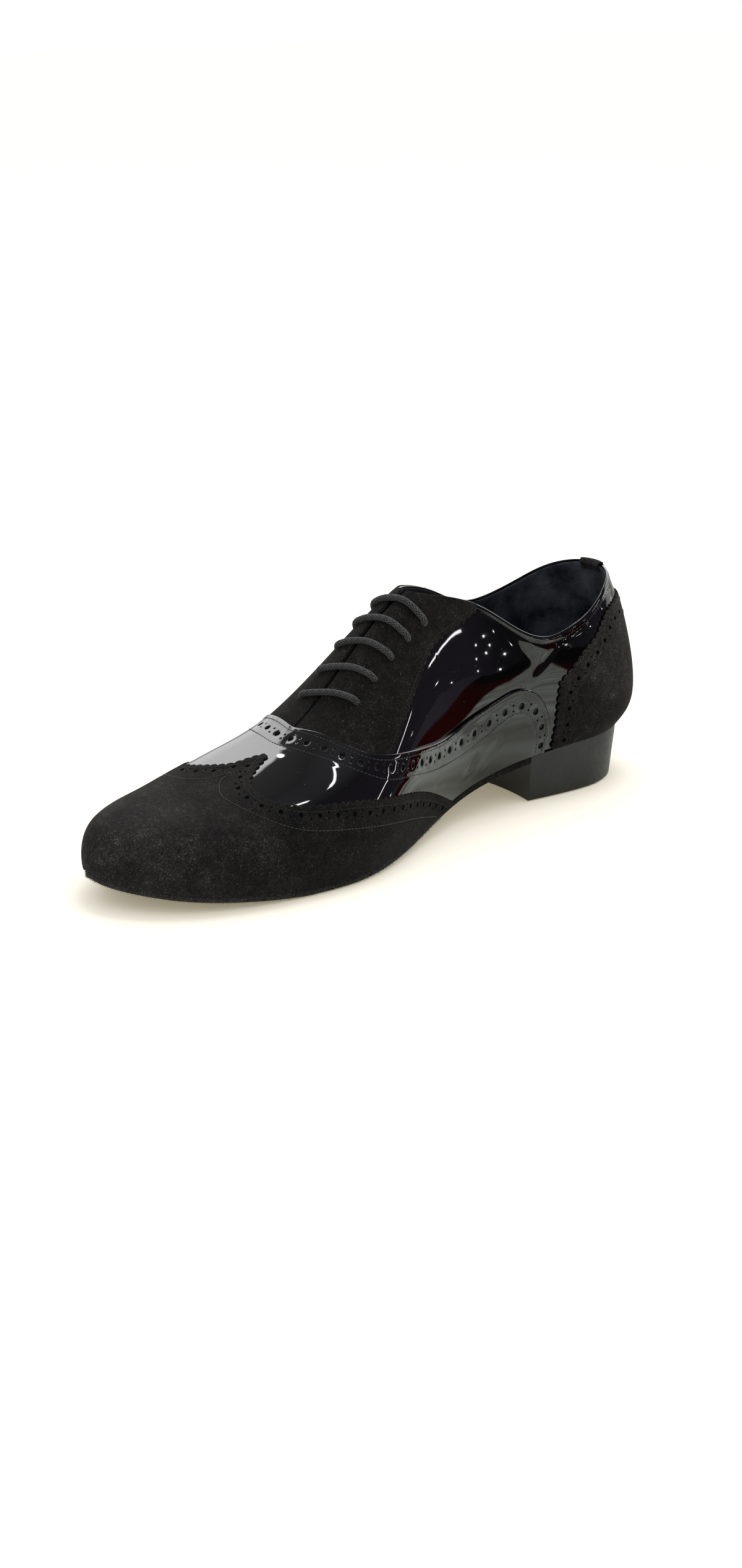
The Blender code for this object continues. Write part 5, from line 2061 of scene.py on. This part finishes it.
def add_floor(scene):
    """A pale floor that goes on for the eye; the patent sees it end at a table's edge in a dim red room."""
    data = bpy.data.meshes.new("floor")
    signs = ((-1, -1), (1, -1), (1, 1), (-1, 1))
    corners = [(x * FLOOR_REACH, y * FLOOR_REACH, FLOOR_LEVEL) for x, y in signs]
    data.from_pydata(corners, [], [(0, 1, 2, 3)])
    material, tree, shader = new_finish("floor")
    rays = new_node(tree, "ShaderNodeLightPath").outputs
    mirrored = rays["Is Glossy Ray"]
    scattered = rays["Is Diffuse Ray"]
    place = own_place(tree)
    far_side = over_plane(tree, place, (-1.0, 0.0, 0.0), 0.10, 0.17)
    light_drift = noise(tree, 24.0, 2.0, 0.5)
    mirror_tone = ramp(tree, light_drift, (0.32, (0.46, 0.49, 0.46)), (0.70, (1.38, 1.50, 1.43)))
    mirror_tone = blend(tree, far_side, mirror_tone, (0.45, 0.45, 0.44))
    tone = blend(tree, scattered, (0.93, 0.91, 0.87), (0.35, 0.35, 0.34))
    glow = blend(tree, scattered, (0.23, 0.20, 0.12), 0.0)
    feed(tree, shader, {
        "Base Color": blend(tree, mirrored, tone, mirror_tone),
        "Emission Color": blend(tree, product(tree, far_side, mirrored), glow, 0.0),
        "Emission Strength": 1.0,
        "Roughness": 0.9,
        "Specular IOR Level": 0.1,
    })
    beyond_table = over_plane(tree, place, (-0.384, 1.0, 0.0), 0.142, 0.154)
    near_side = over_plane(tree, place, (1.0, 0.0, 0.0), 0.02, 0.06)
    far_off = over_plane(tree, place, (-0.72, 1.0, 0.0), 0.26, 0.33)
    behind = over_plane(tree, place, (-1.0, 0.4, 0.0), 0.09, 0.14)
    unlit = over_plane(tree, place, (1.0, 0.0, 0.0), 0.75, 0.95)
    room_tone = blend(tree, unlit, (0.13, 0.005, 0.005), (0.012, 0.012, 0.013))
    room_tone = blend(tree, far_off, room_tone, (0.205, 0.18, 0.235))
    room_tone = blend(tree, behind, room_tone, (2.6, 2.65, 2.6))
    room = new_node(tree, "ShaderNodeEmission", {"Color": room_tone})
    in_room = product(tree, beyond_table, near_side, mirrored)
    surface = mix_shaders(tree, in_room, shader.outputs["BSDF"], room.outputs["Emission"])
    feed(tree, tree.nodes["Material Output"], {"Surface": surface})
    data.materials.append(material)
    floor = bpy.data.objects.new("floor", data)
    scene.collection.objects.link(floor)
    floor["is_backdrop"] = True


def add_world(scene):
    """Even white light; the patent sees a dim grey room, pale on the far side, behind and overhead."""
    world = bpy.data.worlds.new("studio")
    world.use_nodes = True
    tree = world.node_tree
    white = tree.nodes["Background"]
    feed(tree, white, {"Color": 1.0, "Strength": 1.0})
    towards = new_node(tree, "ShaderNodeTexCoord").outputs["Generated"]
    behind = product(
        tree,
        over_plane(tree, towards, (-2.4, 1.0, 0.0), 0.0, 0.25),
        over_plane(tree, towards, (0.0, 1.0, 0.0), 0.45, 0.70),
        over_plane(tree, towards, (0.0, 0.0, -1.0), -0.80, -0.62),
    )
    far_window = product(
        tree,
        over_plane(tree, towards, (-1.0, 0.0, 0.0), 0.58, 0.66),
        over_plane(tree, towards, (0.0, 1.0, 0.0), -0.22, -0.16),
        over_plane(tree, towards, (0.0, -1.0, 0.0), -0.60, -0.50),
        over_plane(tree, towards, (0.0, 0.0, -1.0), -0.655, -0.635),
    )
    walls = ramp(
        tree, over_plane(tree, towards, (1.0, 0.0, 0.0), -1.0, 1.0),
        (0.00, (0.24, 0.24, 0.25)),
        (0.22, (0.24, 0.23, 0.24)),
        (0.40, (0.16, 0.15, 0.17)),
        (0.65, (0.10, 0.09, 0.11)),
        (0.89, (0.14, 0.12, 0.165)),
        (0.945, (0.05, 0.05, 0.06)),
        (1.00, (0.05, 0.05, 0.06)),
    )
    overhead = over_plane(tree, towards, (0.0, 0.0, 1.0), 0.88, 1.0)
    tone = blend(tree, 1.0, walls, ramp(tree, overhead, (0.0, 0.0), (1.0, (0.20, 0.21, 0.22))), "ADD")
    upwards = over_plane(tree, towards, (0.0, 0.0, 1.0), 0.0, 0.65)
    window_tone = ramp(tree, upwards, (0.0, 1.2), (0.57, 2.6), (1.0, 4.5))
    for window in (behind, far_window):
        tone = blend(tree, 1.0, tone, blend(tree, window, 0.0, window_tone), "ADD")
    room = new_node(tree, "ShaderNodeBackground", {"Color": tone})
    mirrored = new_node(tree, "ShaderNodeLightPath").outputs["Is Glossy Ray"]
    surface = mix_shaders(tree, mirrored, white.outputs["Background"], room.outputs["Background"])
    feed(tree, tree.nodes["World Output"], {"Surface": surface})
    scene.world = world


def add_camera(scene):
    """The photograph's camera."""
    turn, rise, roll = (math.radians(angle) for angle in (CAMERA_TURN, CAMERA_RISE, CAMERA_ROLL))
    back = Vector((math.sin(turn) * math.cos(rise), -math.cos(turn) * math.cos(rise), math.sin(rise)))
    right = (-back).cross(Vector((0, 0, 1))).normalized()
    up = right.cross(-back)
    rolled_right = math.cos(roll) * right + math.sin(roll) * up
    rolled_up = -math.sin(roll) * right + math.cos(roll) * up
    data = bpy.data.cameras.new("photo camera")
    data.sensor_width = SENSOR
    data.lens = FOCAL_PIXELS * SENSOR / PHOTO_HEIGHT
    data.clip_start = 0.01
    camera = bpy.data.objects.new("photo camera", data)
    turned = Matrix((rolled_right, rolled_up, back)).transposed().to_4x4()
    camera.matrix_world = Matrix.Translation(CAMERA_PLACE) @ turned
    scene.collection.objects.link(camera)
    scene.camera = camera


class SHOE_PT_panel(bpy.types.Panel):
    """Lists the shoe's pieces, sizes and colours."""
    bl_idname = "SHOE_PT_panel"
    bl_label = "Dance Shoe"
    bl_space_type = "VIEW_3D"
    bl_region_type = "UI"
    bl_category = "Dance Shoe"

    def draw(self, context):
        layout = self.layout
        for operator in PIECES:
            layout.operator(operator.bl_idname)
        for group in (context.scene.dance_shoe_sizes, context.scene.dance_shoe_finishes):
            for name in group.__annotations__:
                layout.prop(group, name)


PIECES = (
    SHOE_OT_upper,
    SHOE_OT_tongue,
    SHOE_OT_vamp,
    SHOE_OT_toe_cap,
    SHOE_OT_eyestays,
    SHOE_OT_counter,
    SHOE_OT_back_strip,
    SHOE_OT_sole,
    SHOE_OT_heel,
    SHOE_OT_lace,
    SHOE_OT_stitches,
    SHOE_OT_stage,
)
CLASSES = (ShoeSizes, ShoeFinishes, *PIECES, SHOE_PT_panel)


def register():
    for item in CLASSES:
        bpy.utils.register_class(item)
    bpy.types.Scene.dance_shoe_sizes = PointerProperty(type=ShoeSizes)
    bpy.types.Scene.dance_shoe_finishes = PointerProperty(type=ShoeFinishes)


def unregister():
    del bpy.types.Scene.dance_shoe_finishes
    del bpy.types.Scene.dance_shoe_sizes
    for item in reversed(CLASSES):
        bpy.utils.unregister_class(item)


def main():
    register()
    for operator in PIECES:
        group, name = operator.bl_idname.split(".")
        getattr(getattr(bpy.ops, group), name)()
    boxes = {"cad": CAD_BOX, "visual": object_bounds()}
    plain = {name: [list(corner) for corner in box] for name, box in boxes.items()}


if __name__ == "__main__":
    main()
